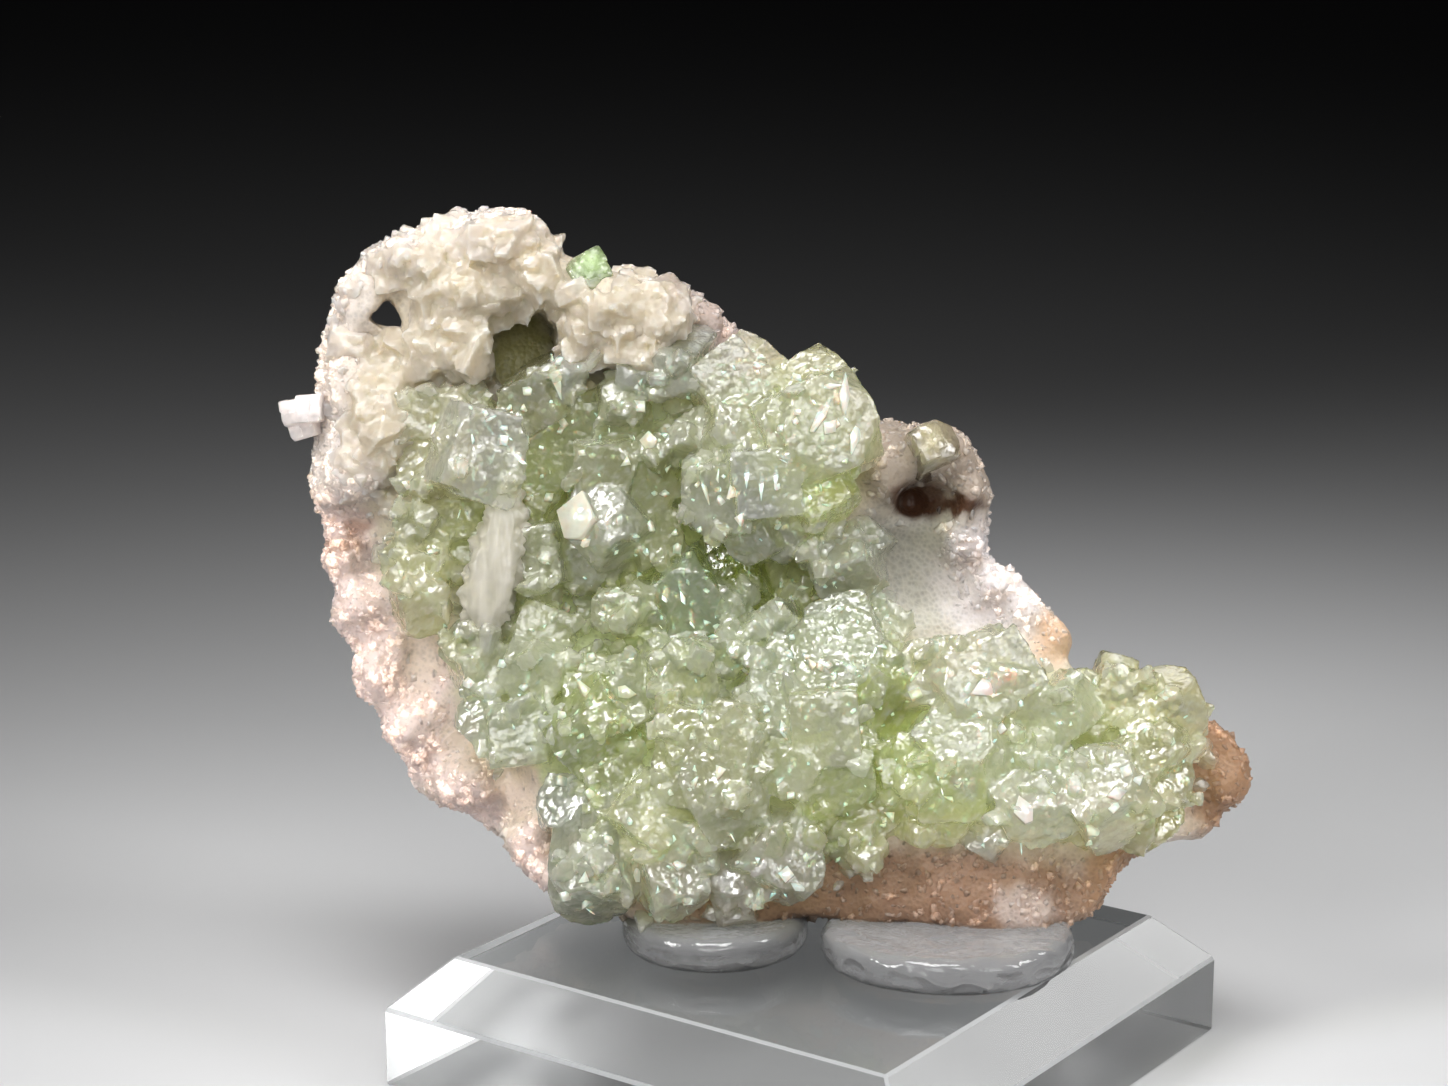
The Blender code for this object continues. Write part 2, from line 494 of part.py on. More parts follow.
def make_rock():
    """The host rock with its lumps, hollows and hole, thinned to plain facets."""
    bm = rock_plate()
    add_lumps(bm, ROCK_LUMPS)
    bm = remeshed(bm, LUMP_VOXEL)
    hollows = bmesh.new()
    add_lumps(hollows, ROCK_HOLLOWS)
    bm = cut(bm, remeshed(hollows, HOLLOW_VOXEL))
    bm = remeshed(bm, SKIN_VOXEL)
    roughen_rock(bm)
    bm = cut(bm, hole_cutter())
    keep_largest(bm)
    bm.transform(FACE)
    foot = FOOT_LEVEL * MM
    for vertex in bm.verts:
        if vertex.co.z < foot:
            vertex.co.z = foot - (foot - vertex.co.z) * FOOT_BULGE
    rock = add_object("matrix", bm, material("host_rock", (0.78, 0.66, 0.58), 0.8))
    thin = rock.modifiers.new("Facets", "DECIMATE")
    thin.ratio = ROCK_FACES / (2.0 * len(rock.data.polygons))
    return rock


def crystal(spot, wide, long, corner):
    """One block with its corners cut off; spot places the middle of its end face."""
    bm = bmesh.new()
    bmesh.ops.create_cube(bm, size=1.0)
    bmesh.ops.scale(bm, vec=(wide, wide, long), verts=bm.verts)
    bmesh.ops.translate(bm, vec=(0.0, 0.0, -long / 2.0), verts=bm.verts)
    ends = [v for v in bm.verts if v.co.z > -long / 2.0]
    bmesh.ops.bevel(bm, geom=ends, offset=wide * corner, segments=1, affect="VERTICES")
    bm.transform(spot)
    return bm


def stand(across, up, out, right, upward, turn):
    """The matrix that stands a crystal at a place with its lean and turn in degrees."""
    lean = Matrix.Rotation(math.radians(right), 4, "Y") @ Matrix.Rotation(math.radians(-upward), 4, "X")
    return Matrix.Translation(seen(across, up, out)) @ lean @ Matrix.Rotation(math.radians(turn), 4, "Z")


def ground_level(across, up):
    """How far the rock's front stands out at a place."""
    return levels(numpy.array([(across, up)]), ROCK_FRONT)[0]


def habit(number):
    """How the crystal of that number stands: lean to the right, lean upward, turn and cut of its corners."""
    right, upward = (CRYSTAL_LEAN * math.sin(2.0 * math.pi * step * number) for step in LEAN_STEPS)
    turn = 90.0 * (TURN_STEP * number % 1.0)
    least, most = CRYSTAL_CORNER
    return right, upward, turn, least + (most - least) * (CORNER_STEP * number % 1.0)


def druse_crystals():
    """Every crystal of the druse, each a closed block."""
    draw = random.Random(SEED)
    blocks = []
    for across, up, out, wide, long, right, upward, turn, corner in SET_CRYSTALS:
        blocks.append(crystal(stand(across, up, out, right, upward, turn), wide, long, corner))
    taken = [(row[0], row[1], row[3]) for row in CRYSTALS + SET_CRYSTALS]
    rows = list(CRYSTALS)
    for row in range(FILL_ROWS):
        for column in range(FILL_ROWS):
            aside = column + 0.5 * (row % 2) + draw.uniform(-FILL_STRAY, FILL_STRAY)
            across = FILL_FROM[0] + FILL_STEP * aside
            up = FILL_FROM[1] + FILL_STEP * (row + draw.uniform(-FILL_STRAY, FILL_STRAY))
            wide = draw.uniform(*FILL_WIDTH)
            crowded = any(math.hypot(across - a, up - u) < FILL_CROWDED * (w + wide) for a, u, w in taken)
            if crowded or not inside((across, up), DRUSE_OUTLINE):
                continue
            taken.append((across, up, wide))
            rows.append((across, up, ground_level(across, up) + FILL_STANDS * wide, wide))
    for number, (across, up, out, wide) in enumerate(rows):
        long = max(out - ground_level(across, up), CRYSTAL_LEAST * wide) + ROOT
        right, upward, turn, corner = habit(number)
        blocks.append(crystal(stand(across, up, out, right, upward, turn), wide, long, corner))
    return blocks


def joined(blocks):
    """The union of closed blocks that grow through each other."""
    group = bpy.data.collections.new("crystal_guides")
    guides = [as_helper(add_object("crystal_guide", bm)) for bm in blocks]
    for guide in guides[1:]:
        group.objects.link(guide)
    modifier = guides[0].modifiers.new("Grown together", "BOOLEAN")
    modifier.operation = "UNION"
    modifier.operand_type = "COLLECTION"
    modifier.collection = group
    whole = evaluated_bmesh(guides[0])
    for guide in guides:
        bpy.data.objects.remove(guide)
    bpy.data.collections.remove(group)
    return whole


def rock_clearance(rock):
    """The rock's skin moved outward by the gap, as a cutter for what grows or lies on it."""
    bm = evaluated_bmesh(rock)
    bm.transform(FACE.inverted())
    bm.normal_update()
    moves = [v.normal * (GAP + ROCK_ALLOWANCE) for v in bm.verts]
    for vertex, move in zip(bm.verts, moves):
        vertex.co += move
    bm = remeshed(bm, CLEARANCE_VOXEL)
    cutter = as_helper(add_object("rock_clearance", bm))
    thin = cutter.modifiers.new("Facets", "DECIMATE")
    thin.ratio = CLEARANCE_FACES / (2.0 * len(cutter.data.polygons))
    bm = evaluated_bmesh(cutter)
    bpy.data.objects.remove(cutter)
    return bm


def make_druse(clearance, finish):
    """The apophyllite druse: all its blocks as one solid, cut to lie on the rock and round the blade."""
    bm = joined(druse_crystals())
    bm = cut(bm, clearance.copy())
    bm = cut(bm, blade(GAP + BLADE_ALLOWANCE))
    keep_largest(bm)
    bm.transform(FACE)
    return add_object("apophyllite_druse", bm, finish)


def grown_on_rock(name, rows, clearance, finish):
    """Crystals of their own node, cut to stand on the rock."""
    blocks = [crystal(stand(a, u, o, right, upward, turn), wide, long, corner)
              for a, u, o, wide, long, right, upward, turn, corner in rows]
    bm = cut(joined(blocks), clearance.copy())
    keep_largest(bm)
    bm.transform(FACE)
    return add_object(name, bm, finish)


def blade(extra):
    """The stilbite blade's crowned slab, grown outward by extra on every side."""
    bm = bmesh.new()
    corners = numpy.array(BLADE_OUTLINE)
    middle = corners.mean(axis=0)
    levels_out = (BLADE_BACK - extra, BLADE_FRONT - BLADE_CROWN, BLADE_FRONT + extra)
    rings = []
    for out, crown in zip(levels_out, (0.0, 0.0, BLADE_CROWN)):
        ring = []
        for across, up in corners:
            away = Vector((across - middle[0], up - middle[1]))
            place = away * (1.0 + (extra - crown) / away.length)
            ring.append(bm.verts.new(seen(middle[0] + place.x, middle[1] + place.y, out)))
        rings.append(ring)
    count = len(corners)
    bm.faces.new(rings[0])
    bm.faces.new(rings[-1])
    for low, high in zip(rings, rings[1:]):
        for k in range(count):
            bm.faces.new((low[k], low[(k + 1) % count], high[(k + 1) % count], high[k]))
    bmesh.ops.recalc_face_normals(bm, faces=bm.faces)
    return bm


def make_blade(clearance):
    """The pearly stilbite blade, which stands in a slot of the druse."""
    bm = cut(blade(0.0), clearance.copy())
    keep_largest(bm)
    bm.transform(FACE)
    return add_object("stilbite_blade", bm, material("pearly_stilbite", (0.82, 0.78, 0.66), 0.35))


def make_pad(name, clearance):
    """One pad of clear glue, squashed between the block and the stone."""
    x, y, wide, deep = PADS[name]
    foot = BASE_HEIGHT + GAP
    tall = PAD_TOP - foot
    bm = bmesh.new()
    rings = []
    for share, height in PAD_PROFILE:
        ring = []
        for k in range(PAD_SIDES):
            turn = 2.0 * math.pi * k / PAD_SIDES
            uneven = noise.noise((2.0 * math.cos(turn) + x, 2.0 * math.sin(turn), 0.4 * height))
            reach = share * (1.0 + PAD_UNEVEN * uneven)
            aside = wide * reach * math.cos(turn)
            behind = deep * reach * math.sin(turn)
            ring.append(bm.verts.new((x + aside, y + behind, foot + tall * height)))
        rings.append(ring)
    bm.faces.new(rings[0])
    bm.faces.new(rings[-1])
    for low, high in zip(rings, rings[1:]):
        for k in range(PAD_SIDES):
            bm.faces.new((low[k], low[(k + 1) % PAD_SIDES], high[(k + 1) % PAD_SIDES], high[k]))
    bmesh.ops.recalc_face_normals(bm, faces=bm.faces)
    bm.transform(Matrix.Scale(MM, 4))
    bm.transform(FACE.inverted())
    bm = cut(bm, clearance.copy())
    keep_largest(bm)
    bm.transform(FACE)
    return add_object(name, bm, material("clear_glue", (0.93, 0.94, 0.95), 0.15, 1.0, 1.48))


def main():
    for old in list(bpy.data.objects):
        bpy.data.objects.remove(old)
    make_base()
    rock = make_rock()
    clearance = rock_clearance(rock)
    green = material("green_apophyllite", (0.62, 0.78, 0.5), 0.08, 0.8, 1.535)
    make_druse(clearance, green)
    grown_on_rock("apophyllite_crest", CREST_CRYSTALS, clearance, green)
    grown_on_rock("apophyllite_lobe", LOBE_CRYSTALS, clearance, green)
    lilac = material("lilac_tablets", (0.8, 0.76, 0.78), 0.3)
    grown_on_rock("lilac_tablets", TABLET_CRYSTALS, clearance, lilac)
    make_blade(clearance)
    for name in PADS:
        make_pad(name, clearance)


main()
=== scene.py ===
"""The looks of a green apophyllite specimen: its crystals, its host rock, its glue pads and its clear base."""

import math
import random

import bpy
import numpy
from mathutils import Matrix, Vector, noise
from mathutils.bvhtree import BVHTree


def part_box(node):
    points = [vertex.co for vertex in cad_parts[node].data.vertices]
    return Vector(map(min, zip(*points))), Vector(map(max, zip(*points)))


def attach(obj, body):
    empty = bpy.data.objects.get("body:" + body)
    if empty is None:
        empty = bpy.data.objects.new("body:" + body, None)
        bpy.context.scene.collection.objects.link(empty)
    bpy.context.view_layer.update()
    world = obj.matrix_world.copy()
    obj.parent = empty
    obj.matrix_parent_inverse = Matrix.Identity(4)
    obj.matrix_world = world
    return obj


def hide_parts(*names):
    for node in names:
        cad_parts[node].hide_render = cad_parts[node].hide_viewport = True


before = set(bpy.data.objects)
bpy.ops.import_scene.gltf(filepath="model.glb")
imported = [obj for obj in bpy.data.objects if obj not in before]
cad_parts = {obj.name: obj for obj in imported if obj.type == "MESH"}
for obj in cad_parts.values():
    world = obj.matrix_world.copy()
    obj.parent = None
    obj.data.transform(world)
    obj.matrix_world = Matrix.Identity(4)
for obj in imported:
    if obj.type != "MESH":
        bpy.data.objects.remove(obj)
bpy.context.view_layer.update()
MM = 0.001


# The studio. The camera stands at the photograph's height in front of the stone, over a pale floor. One soft
# light hangs above the stone and lights a round pool of floor that dies away behind it; two strips at the
# sides and a low one in front fill the shadows and put the white glints on the crystals.
CAMERA_SPOT = (-8.5 * MM, -282.4 * MM, 119.7 * MM)
CAMERA_DOWN = 13.25
PHOTO_WIDTH = 1448
PIXELS_AT_ONE = 3000.0
SENSOR = 36.0

lens = bpy.data.cameras.new("photo_camera")
lens.sensor_width = SENSOR
lens.lens = PIXELS_AT_ONE / PHOTO_WIDTH * SENSOR
lens.clip_start = 0.01
camera = bpy.data.objects.new("photo_camera", lens)
bpy.context.scene.collection.objects.link(camera)
camera.location = CAMERA_SPOT
camera.rotation_euler = (math.radians(90.0 - CAMERA_DOWN), 0.0, 0.0)
bpy.context.scene.camera = camera


def select_none():
    """Leaves nothing selected, so that an operator acts on the new piece alone."""
    if bpy.context.object and bpy.context.object.mode != "OBJECT":
        bpy.ops.object.mode_set(mode="OBJECT")
    bpy.ops.object.select_all(action="DESELECT")


def new_material(name, finish):
    """A material whose shader has the finish, given by its sockets' names: the material and its node tree."""
    made = bpy.data.materials.new(name)
    made.use_nodes = True
    shader = made.node_tree.nodes["Principled BSDF"]
    shader.subsurface_method = "BURLEY"
    for socket, value in finish.items():
        shader.inputs[socket].default_value = value
    return made, made.node_tree


FLOOR_SIDE = 7.0
FLOOR_GAP = 0.1 * MM
FLOOR_COLOUR = (0.66, 0.66, 0.665)
DARK_ROOM = (0.0025, 0.0025, 0.0026)
select_none()
bpy.ops.mesh.primitive_plane_add(size=FLOOR_SIDE, location=(0.0, 0.0, -FLOOR_GAP))
floor = bpy.context.object
floor.name = "studio_floor"
paper, tree = new_material("studio_paper", {
    "Base Color": (*FLOOR_COLOUR, 1.0), "Roughness": 0.9, "Specular IOR Level": 0.1,
})
floor.data.materials.append(paper)

# The crystals and the clear block have lights of their own besides, so that the floor keeps its dark distance
crystals = bpy.data.collections.new("crystals")
clear_block = bpy.data.collections.new("clear_block")
not_block = bpy.data.collections.new("all_but_the_block")

# Each light: name, place, what it points at, width, height, watts, how wide it spreads, and what it lights
LIGHTS = (
    ("overhead_softbox", (-0.03, -0.12, 0.42), (0.0, -0.03, 0.0), 0.20, 0.16, 0.190, 70.0, None),
    ("left_strip", (-0.30, -0.20, 0.28), (-0.01, 0.0, 0.05), 0.09, 0.26, 0.092, 40.0, not_block),
    ("right_strip", (0.30, -0.10, 0.28), (0.01, 0.0, 0.05), 0.09, 0.26, 0.118, 70.0, not_block),
    ("front_fill", (0.06, -0.45, 0.30), (0.0, 0.0, 0.05), 0.40, 0.24, 0.165, 60.0, None),
    ("back_fill", (-0.18, 0.40, 0.34), (0.0, 0.0, 0.05), 0.20, 0.20, 0.012, 40.0, not_block),
    ("stone_key", (-0.20, -0.40, 0.34), (0.0, 0.0, 0.05), 0.24, 0.20, 0.055, 60.0, crystals),
    ("stone_side", (0.34, -0.26, 0.20), (0.0, 0.0, 0.05), 0.12, 0.26, 0.040, 60.0, crystals),
    ("stone_rim", (-0.06, 0.28, 0.42), (0.0, 0.0, 0.06), 0.40, 0.14, 0.050, 60.0, crystals),
    ("bevel_box_left", (-0.38, 0.0, 0.46), (-0.015, -0.022, 0.01), 0.26, 0.26, 0.80, 180.0, clear_block),
    ("bevel_box_right", (0.49, 0.25, 0.28), (0.024, -0.017, 0.01), 0.30, 0.30, 1.9, 180.0, clear_block),
)
for name, place, target, wide, tall, watts, spread, lit in LIGHTS:
    light = bpy.data.lights.new(name, "AREA")
    light.shape = "RECTANGLE"
    light.size = wide
    light.size_y = tall
    light.energy = watts
    light.spread = math.radians(spread)
    lamp = bpy.data.objects.new(name, light)
    bpy.context.scene.collection.objects.link(lamp)
    lamp.location = place
    lamp.visible_camera = False
    lamp.rotation_euler = (Vector(target) - Vector(place)).to_track_quat("-Z", "Y").to_euler()
    if lit:
        lamp.light_linking.receiver_collection = lit

world = bpy.data.worlds.new("dark_room")
world.use_nodes = True
world.node_tree.nodes["Background"].inputs["Color"].default_value = (*DARK_ROOM, 1.0)
bpy.context.scene.world = world
bpy.context.scene.view_settings.view_transform = "Standard"
tracing = bpy.context.scene.cycles
tracing.use_denoising = True
tracing.max_bounces = 8
tracing.transmission_bounces = 8
tracing.diffuse_bounces = 3
tracing.glossy_bounces = 3
tracing.transparent_max_bounces = 6
tracing.caustics_reflective = False
tracing.caustics_refractive = False


# The display base: a square block of cast acrylic, sawn, bevelled at 45 degrees round its top and polished,
# with its arrises just broken. It is cut from one sheet and nothing is fastened to it but the glue.
BASE_SIDE = 60.0 * MM
BASE_BEVEL = 5.0 * MM
BASE_TURN = math.radians(54.5)
BASE_ARRIS = 0.25 * MM
ARRIS_SHARE = 0.012
ACRYLIC_IOR = 1.49
ACRYLIC_SHADOW = ((0.96, 0.97, 0.97), 0.62)

select_none()
base_low, base_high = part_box("display_base")
base_tall = base_high.z - base_low.z
bpy.ops.mesh.primitive_cube_add(size=1.0, location=(0.0, 0.0, base_tall / 2.0))
base = bpy.context.object
base.name = "acrylic_block"
base.scale = (BASE_SIDE, BASE_SIDE, base_tall)
base.rotation_euler.z = BASE_TURN
bpy.ops.object.transform_apply(location=True, rotation=True, scale=True)
bpy.ops.object.mode_set(mode="EDIT")
bpy.ops.mesh.select_all(action="DESELECT")
bpy.ops.object.mode_set(mode="OBJECT")
for edge in base.data.edges:
    edge.select = all(base.data.vertices[corner].co.z > base_tall / 2.0 for corner in edge.vertices)
bpy.ops.object.mode_set(mode="EDIT")
bpy.ops.mesh.bevel(offset=BASE_BEVEL, segments=1)
bpy.ops.mesh.select_all(action="SELECT")
bpy.ops.mesh.bevel(offset=BASE_ARRIS, segments=1)
bpy.ops.mesh.normals_make_consistent(inside=False)
bpy.ops.object.mode_set(mode="OBJECT")

acrylic, tree = new_material("polished_acrylic", {
    "Base Color": (0.93, 0.94, 0.945, 1.0), "Roughness": 0.02, "IOR": ACRYLIC_IOR, "Transmission Weight": 1.0,
})


def new_node(nodes, kind, settings):
    """A node of the kind with its inputs set, by their names or numbers."""
    made = nodes.new(kind)
    for socket, value in settings.items():
        made.inputs[socket].default_value = value
    return made


def wire(tree, *wires):
    """Joins nodes of the tree, each wire given as a node, its output, another node and its input."""
    for source, output, target, socket in wires:
        tree.links.new(source.outputs[output], target.inputs[socket])


def feed(tree, output, socket):
    """Leads an output to one of the shader's sockets."""
    tree.links.new(output, tree.nodes["Principled BSDF"].inputs[socket])


def let_light_through(tree, colour, share):
    """Lets a share of the lamps' light pass a clear piece straight on, so that it lights what is behind."""
    nodes = tree.nodes
    rays = nodes.new("ShaderNodeLightPath")
    part = new_node(nodes, "ShaderNodeMath", {1: share})
    part.operation = "MULTIPLY"
    through = new_node(nodes, "ShaderNodeBsdfTransparent", {"Color": (*colour, 1.0)})
    both = nodes.new("ShaderNodeMixShader")
    wire(tree, (rays, "Is Shadow Ray", part, 0), (part, 0, both, 0), (nodes["Principled BSDF"], 0, both, 1),
         (through, 0, both, 2), (both, 0, nodes["Material Output"], "Surface"))


let_light_through(tree, *ACRYLIC_SHADOW)
base.data.materials.append(acrylic)

# The underside is scuffed by the table, which makes it a soft grey under the clear top
scuffed, tree = new_material("scuffed_acrylic", {
    "Base Color": (0.93, 0.94, 0.94, 1.0), "IOR": ACRYLIC_IOR, "Transmission Weight": 0.7,
})
place = tree.nodes.new("ShaderNodeTexCoord")
scuffs = new_node(tree.nodes, "ShaderNodeTexNoise", {"Scale": 60.0, "Detail": 5.0})
wear = new_node(tree.nodes, "ShaderNodeMapRange", {"To Min": 0.15, "To Max": 0.6})
wire(tree, (place, "Object", scuffs, "Vector"), (scuffs, "Fac", wear, "Value"))
feed(tree, wear.outputs["Result"], "Roughness")
let_light_through(tree, *ACRYLIC_SHADOW)
base.data.materials.append(scuffed)

# The broken arrises are left as the file leaves them, so they are paler than the polished faces
ground_edge, tree = new_material("broken_arris", {
    "Base Color": (0.74, 0.75, 0.76, 1.0), "Roughness": 0.45, "IOR": ACRYLIC_IOR, "Transmission Weight": 0.35,
})
let_light_through(tree, *ACRYLIC_SHADOW)
base.data.materials.append(ground_edge)
widest = max(polygon.area for polygon in base.data.polygons)
for polygon in base.data.polygons:
    narrow = polygon.area < ARRIS_SHARE * widest
    polygon.material_index = 1 if polygon.normal.z < -0.9 else 2 if narrow else 0
clear_block.objects.link(base)
not_block.objects.link(base)
not_block.collection_objects[0].light_linking.link_state = "EXCLUDE"
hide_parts("display_base")
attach(base, "root")


# The glue: two pads of clear silicone squeezed between the block and the stone. Each set with a rounded side, a
# wavy top, and trapped folds that show as bright lines.

# Each pad's middle and half its width and depth in millimetres
PADS = {"glue_pad_left": (-9.4, -3.2, 9.2, 9.3), "glue_pad_right": (13.2, -7.6, 12.3, 10.6)}
PAD_FOOT = 13.3
PAD_TALL = 3.7
PAD_SIDES = 96
PAD_ROUND = 0.34 * PAD_TALL * MM
PAD_GRAIN = 0.22 * MM
# The height of each pad's folds and of its waves, and what the skin loses before them, in millimetres
PAD_FOLDS = (0.06, 0.18)
PAD_WAVE = 0.08
PAD_SHRINK = 0.12

glue, tree = new_material("clear_silicone", {
    "Base Color": (0.95, 0.95, 0.96, 1.0), "Roughness": 0.1, "IOR": 1.42, "Transmission Weight": 0.82,
    "Coat Weight": 0.4, "Coat Roughness": 0.05,
})
place = tree.nodes.new("ShaderNodeTexCoord")
folds = new_node(tree.nodes, "ShaderNodeTexNoise", {"Scale": 190.0, "Detail": 3.0, "Distortion": 1.6})
ridge = new_node(tree.nodes, "ShaderNodeBump", {"Strength": 0.3, "Distance": 0.8 * MM})
wire(tree, (place, "Object", folds, "Vector"), (folds, "Fac", ridge, "Height"))
feed(tree, ridge.outputs["Normal"], "Normal")
let_light_through(tree, (0.95, 0.96, 0.97), 0.6)


def edit_all():
    """Opens the active piece for editing, with all of it selected."""
    bpy.ops.object.mode_set(mode="EDIT")
    bpy.ops.mesh.select_all(action="SELECT")


def fine_skin(piece, grain):
    """Gives the active piece one closed skin of even faces of the grain."""
    skin = piece.modifiers.new("Fine skin", "REMESH")
    skin.mode = "VOXEL"
    skin.voxel_size = grain
    bpy.ops.object.modifier_apply(modifier=skin.name)


for number, (name, (x, y, wide, deep)) in enumerate(PADS.items()):
    select_none()
    bpy.ops.mesh.primitive_cylinder_add(vertices=PAD_SIDES, radius=1.0, depth=PAD_TALL * MM)
    pad = bpy.context.object
    pad.name = name.replace("pad", "blob")
    pad.scale = (wide * MM, deep * MM, 1.0)
    pad.location = (x * MM, y * MM, (PAD_FOOT + PAD_TALL / 2.0) * MM)
    bpy.ops.object.transform_apply(location=True, rotation=True, scale=True)
    edit_all()
    bpy.ops.mesh.bevel(offset=PAD_ROUND, segments=6)
    bpy.ops.object.mode_set(mode="OBJECT")
    fine_skin(pad, PAD_GRAIN)
    moved = []
    for corner in pad.data.vertices:
        spot = corner.co / MM
        height = (spot.z - PAD_FOOT) / PAD_TALL
        crease = noise.noise(Vector((spot.x / 3.2, spot.y / 3.2, spot.z / 1.6 + 7.0 * number)))
        fold = 1.0 - min(1.0, 3.2 * abs(crease))
        wave = noise.noise(spot / 4.0) + 0.5 * noise.noise(spot / 1.7)
        swell = (PAD_WAVE * wave + PAD_FOLDS[number] * fold) * min(1.0, 4.0 * height)
        moved.append(corner.co + corner.normal * (swell - PAD_SHRINK) * MM)
    for corner, place in zip(pad.data.vertices, moved):
        corner.co = place
    bpy.ops.object.shade_smooth_by_angle(angle=math.radians(50.0))
    pad.data.materials.append(glue)
    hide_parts(name)
    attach(pad, "root")


# The host rock: altered basalt coated with a crust of tiny zeolite crystals. The crust is cream and knobbly at
# the top, pink and sugary along the left rim, smooth and lilac on the fan, and the underside is bare brown rock.
FACE_MIDDLE = (-8.5, 9.6, 50.9)
FACE_LEAN = 13.25
SEEN_FROM = 300.0
FACE = (Matrix.Diagonal((MM, MM, MM, 1.0)) @ Matrix.Translation(FACE_MIDDLE)
        @ Matrix.Rotation(math.radians(90.0 - FACE_LEAN), 4, "X"))
ROCK_GRAIN = 0.46 * MM
ROCK_SMOOTHING = 3
ROCK_SHRINK = 0.15


def face_places(corners):
    """The places (across, up, out) in millimetres, as the camera sees them, of points in the part's frame."""
    back = numpy.array(FACE.inverted())
    flat = corners @ back[:3, :3].T + back[:3, 3]
    nearer = 1.0 - flat[:, 2] / SEEN_FROM
    return numpy.stack((flat[:, 0] / nearer, flat[:, 1] / nearer, flat[:, 2]), axis=1)


def zone(places, spots):
    """How much each place belongs to a zone, from 0 to 1; a spot is (across, up, half width, half height)."""
    share = numpy.zeros(len(places))
    for across, up, wide, tall in spots:
        far = numpy.sqrt(((places[:, 0] - across) / wide) ** 2 + ((places[:, 1] - up) / tall) ** 2)
        share = numpy.maximum(share, numpy.clip((1.35 - far) / 0.7, 0.0, 1.0))
    return share * share * (3.0 - 2.0 * share)


# Zones of the rock's front: middle across and up, half width and half height of each spot, in millimetres
CREAM_CRUST = ((-24.0, 22.0, 12.0, 9.0), (-31.0, 12.0, 7.0, 9.0), (-10.0, 21.5, 6.5, 5.5), (-16.0, 25.5, 6.0, 3.5))
WHITE_RIM = ((-30.0, 31.0, 7.0, 2.8), (-38.0, 24.0, 3.2, 5.5), (-40.5, 13.0, 3.0, 11.0), (-20.0, 32.6, 4.0, 1.6),
             (-37.5, 7.5, 3.0, 4.0))
PINK_RIM = ((-39.0, -1.5, 4.2, 6.0), (-35.5, -10.5, 4.6, 7.0), (-31.0, -18.5, 4.6, 6.0), (-24.5, -25.0, 5.0, 4.0),
            (-18.0, -31.0, 3.6, 4.6), (-30.0, -12.0, 3.0, 6.0))
SMOOTH_RIM = ((-30.0, -10.0, 2.6, 4.0), (-20.5, -24.5, 2.4, 3.2), (-26.0, -20.0, 2.2, 3.4))
FAN = ((19.0, -3.0, 8.0, 6.5), (26.0, -5.0, 5.5, 5.0))
FAN_LILAC = ((26.5, -3.5, 6.0, 5.5),)
UNDERSIDE = ((16.0, -35.5, 26.0, 5.6),)
PALE_PATCH = ((30.1, -36.4, 3.0, 2.2),)
TIP = ((50.0, -22.0, 4.5, 8.0), (40.0, -34.0, 4.0, 5.0))
NUB = ((33.6, -9.6, 2.6, 2.6),)
LOBE = ((20.0, 8.0, 7.0, 6.0), (25.0, 2.0, 4.0, 6.0))
POCKET = ((19.6, 4.3, 3.0, 1.8), (22.8, 3.9, 3.4, 1.0))
CAVE = ((-20.2, 19.0, 3.6, 4.2),)
RIDGE = ((-2.0, 21.5, 5.0, 4.0), (1.5, 19.0, 3.0, 3.0))
RED_HOLLOW = ((-38.5, -0.2, 2.4, 0.8), (-37.0, 1.6, 1.5, 1.0))
BED = ((-12.0, 4.0, 20.0, 12.0), (-4.0, -14.0, 22.0, 16.0), (28.0, -20.0, 18.0, 7.0), (4.0, 8.0, 9.0, 9.0))

GROUND_COLOURS = (
    (BED, (0.50, 0.55, 0.30)), (RIDGE, (0.50, 0.40, 0.35)), (LOBE, (0.38, 0.31, 0.25)), (FAN, (0.56, 0.53, 0.46)),
    (FAN_LILAC, (0.72, 0.66, 0.64)), (CREAM_CRUST, (0.60, 0.52, 0.40)), (WHITE_RIM, (0.74, 0.66, 0.59)),
    (PINK_RIM, (0.68, 0.55, 0.50)), (SMOOTH_RIM, (0.62, 0.50, 0.42)), (UNDERSIDE, (0.27, 0.16, 0.10)),
    (PALE_PATCH, (0.48, 0.38, 0.33)), (TIP, (0.36, 0.21, 0.12)), (NUB, (0.66, 0.47, 0.32)),
    (POCKET, (0.07, 0.03, 0.015)), (CAVE, (0.27, 0.25, 0.09)), (RED_HOLLOW, (0.42, 0.28, 0.22)),
)
ROCK_COLOUR = (0.66, 0.56, 0.47)
BACK_COLOUR = (0.52, 0.42, 0.35)
BACK_SHARE = 0.75
ZONE_STRAY = 0.8
# noise_vector starts from the clock unless it is given a seed, and the zones' borders would change with each run
noise.seed_set(7)


def ground_colours(places, facing):
    """The rock's own colour at each place; facing is how far the surface looks forward, from -1 to 1."""
    colours = numpy.tile(numpy.array(ROCK_COLOUR), (len(places), 1))
    places = places + ZONE_STRAY * numpy.array([noise.noise_vector(Vector(place) / 1.5) for place in places])
    for spots, colour in GROUND_COLOURS:
        share = zone(places, spots)[:, None]
        colours = colours * (1.0 - share) + numpy.array(colour) * share
    behind = numpy.clip(-facing * 2.0 - 0.1, 0.0, 1.0)[:, None]
    return colours * (1.0 - BACK_SHARE * behind) + numpy.array(BACK_COLOUR) * BACK_SHARE * behind


def add_colours(mesh, name, colours):
    """Keeps a colour at every corner of the mesh for its material to read."""
    kept = mesh.color_attributes.new(name, "FLOAT_COLOR", "POINT")
    flat = numpy.ones((len(mesh.vertices), 4))
    flat[:, :3] = colours
    kept.data.foreach_set("color", flat.ravel())


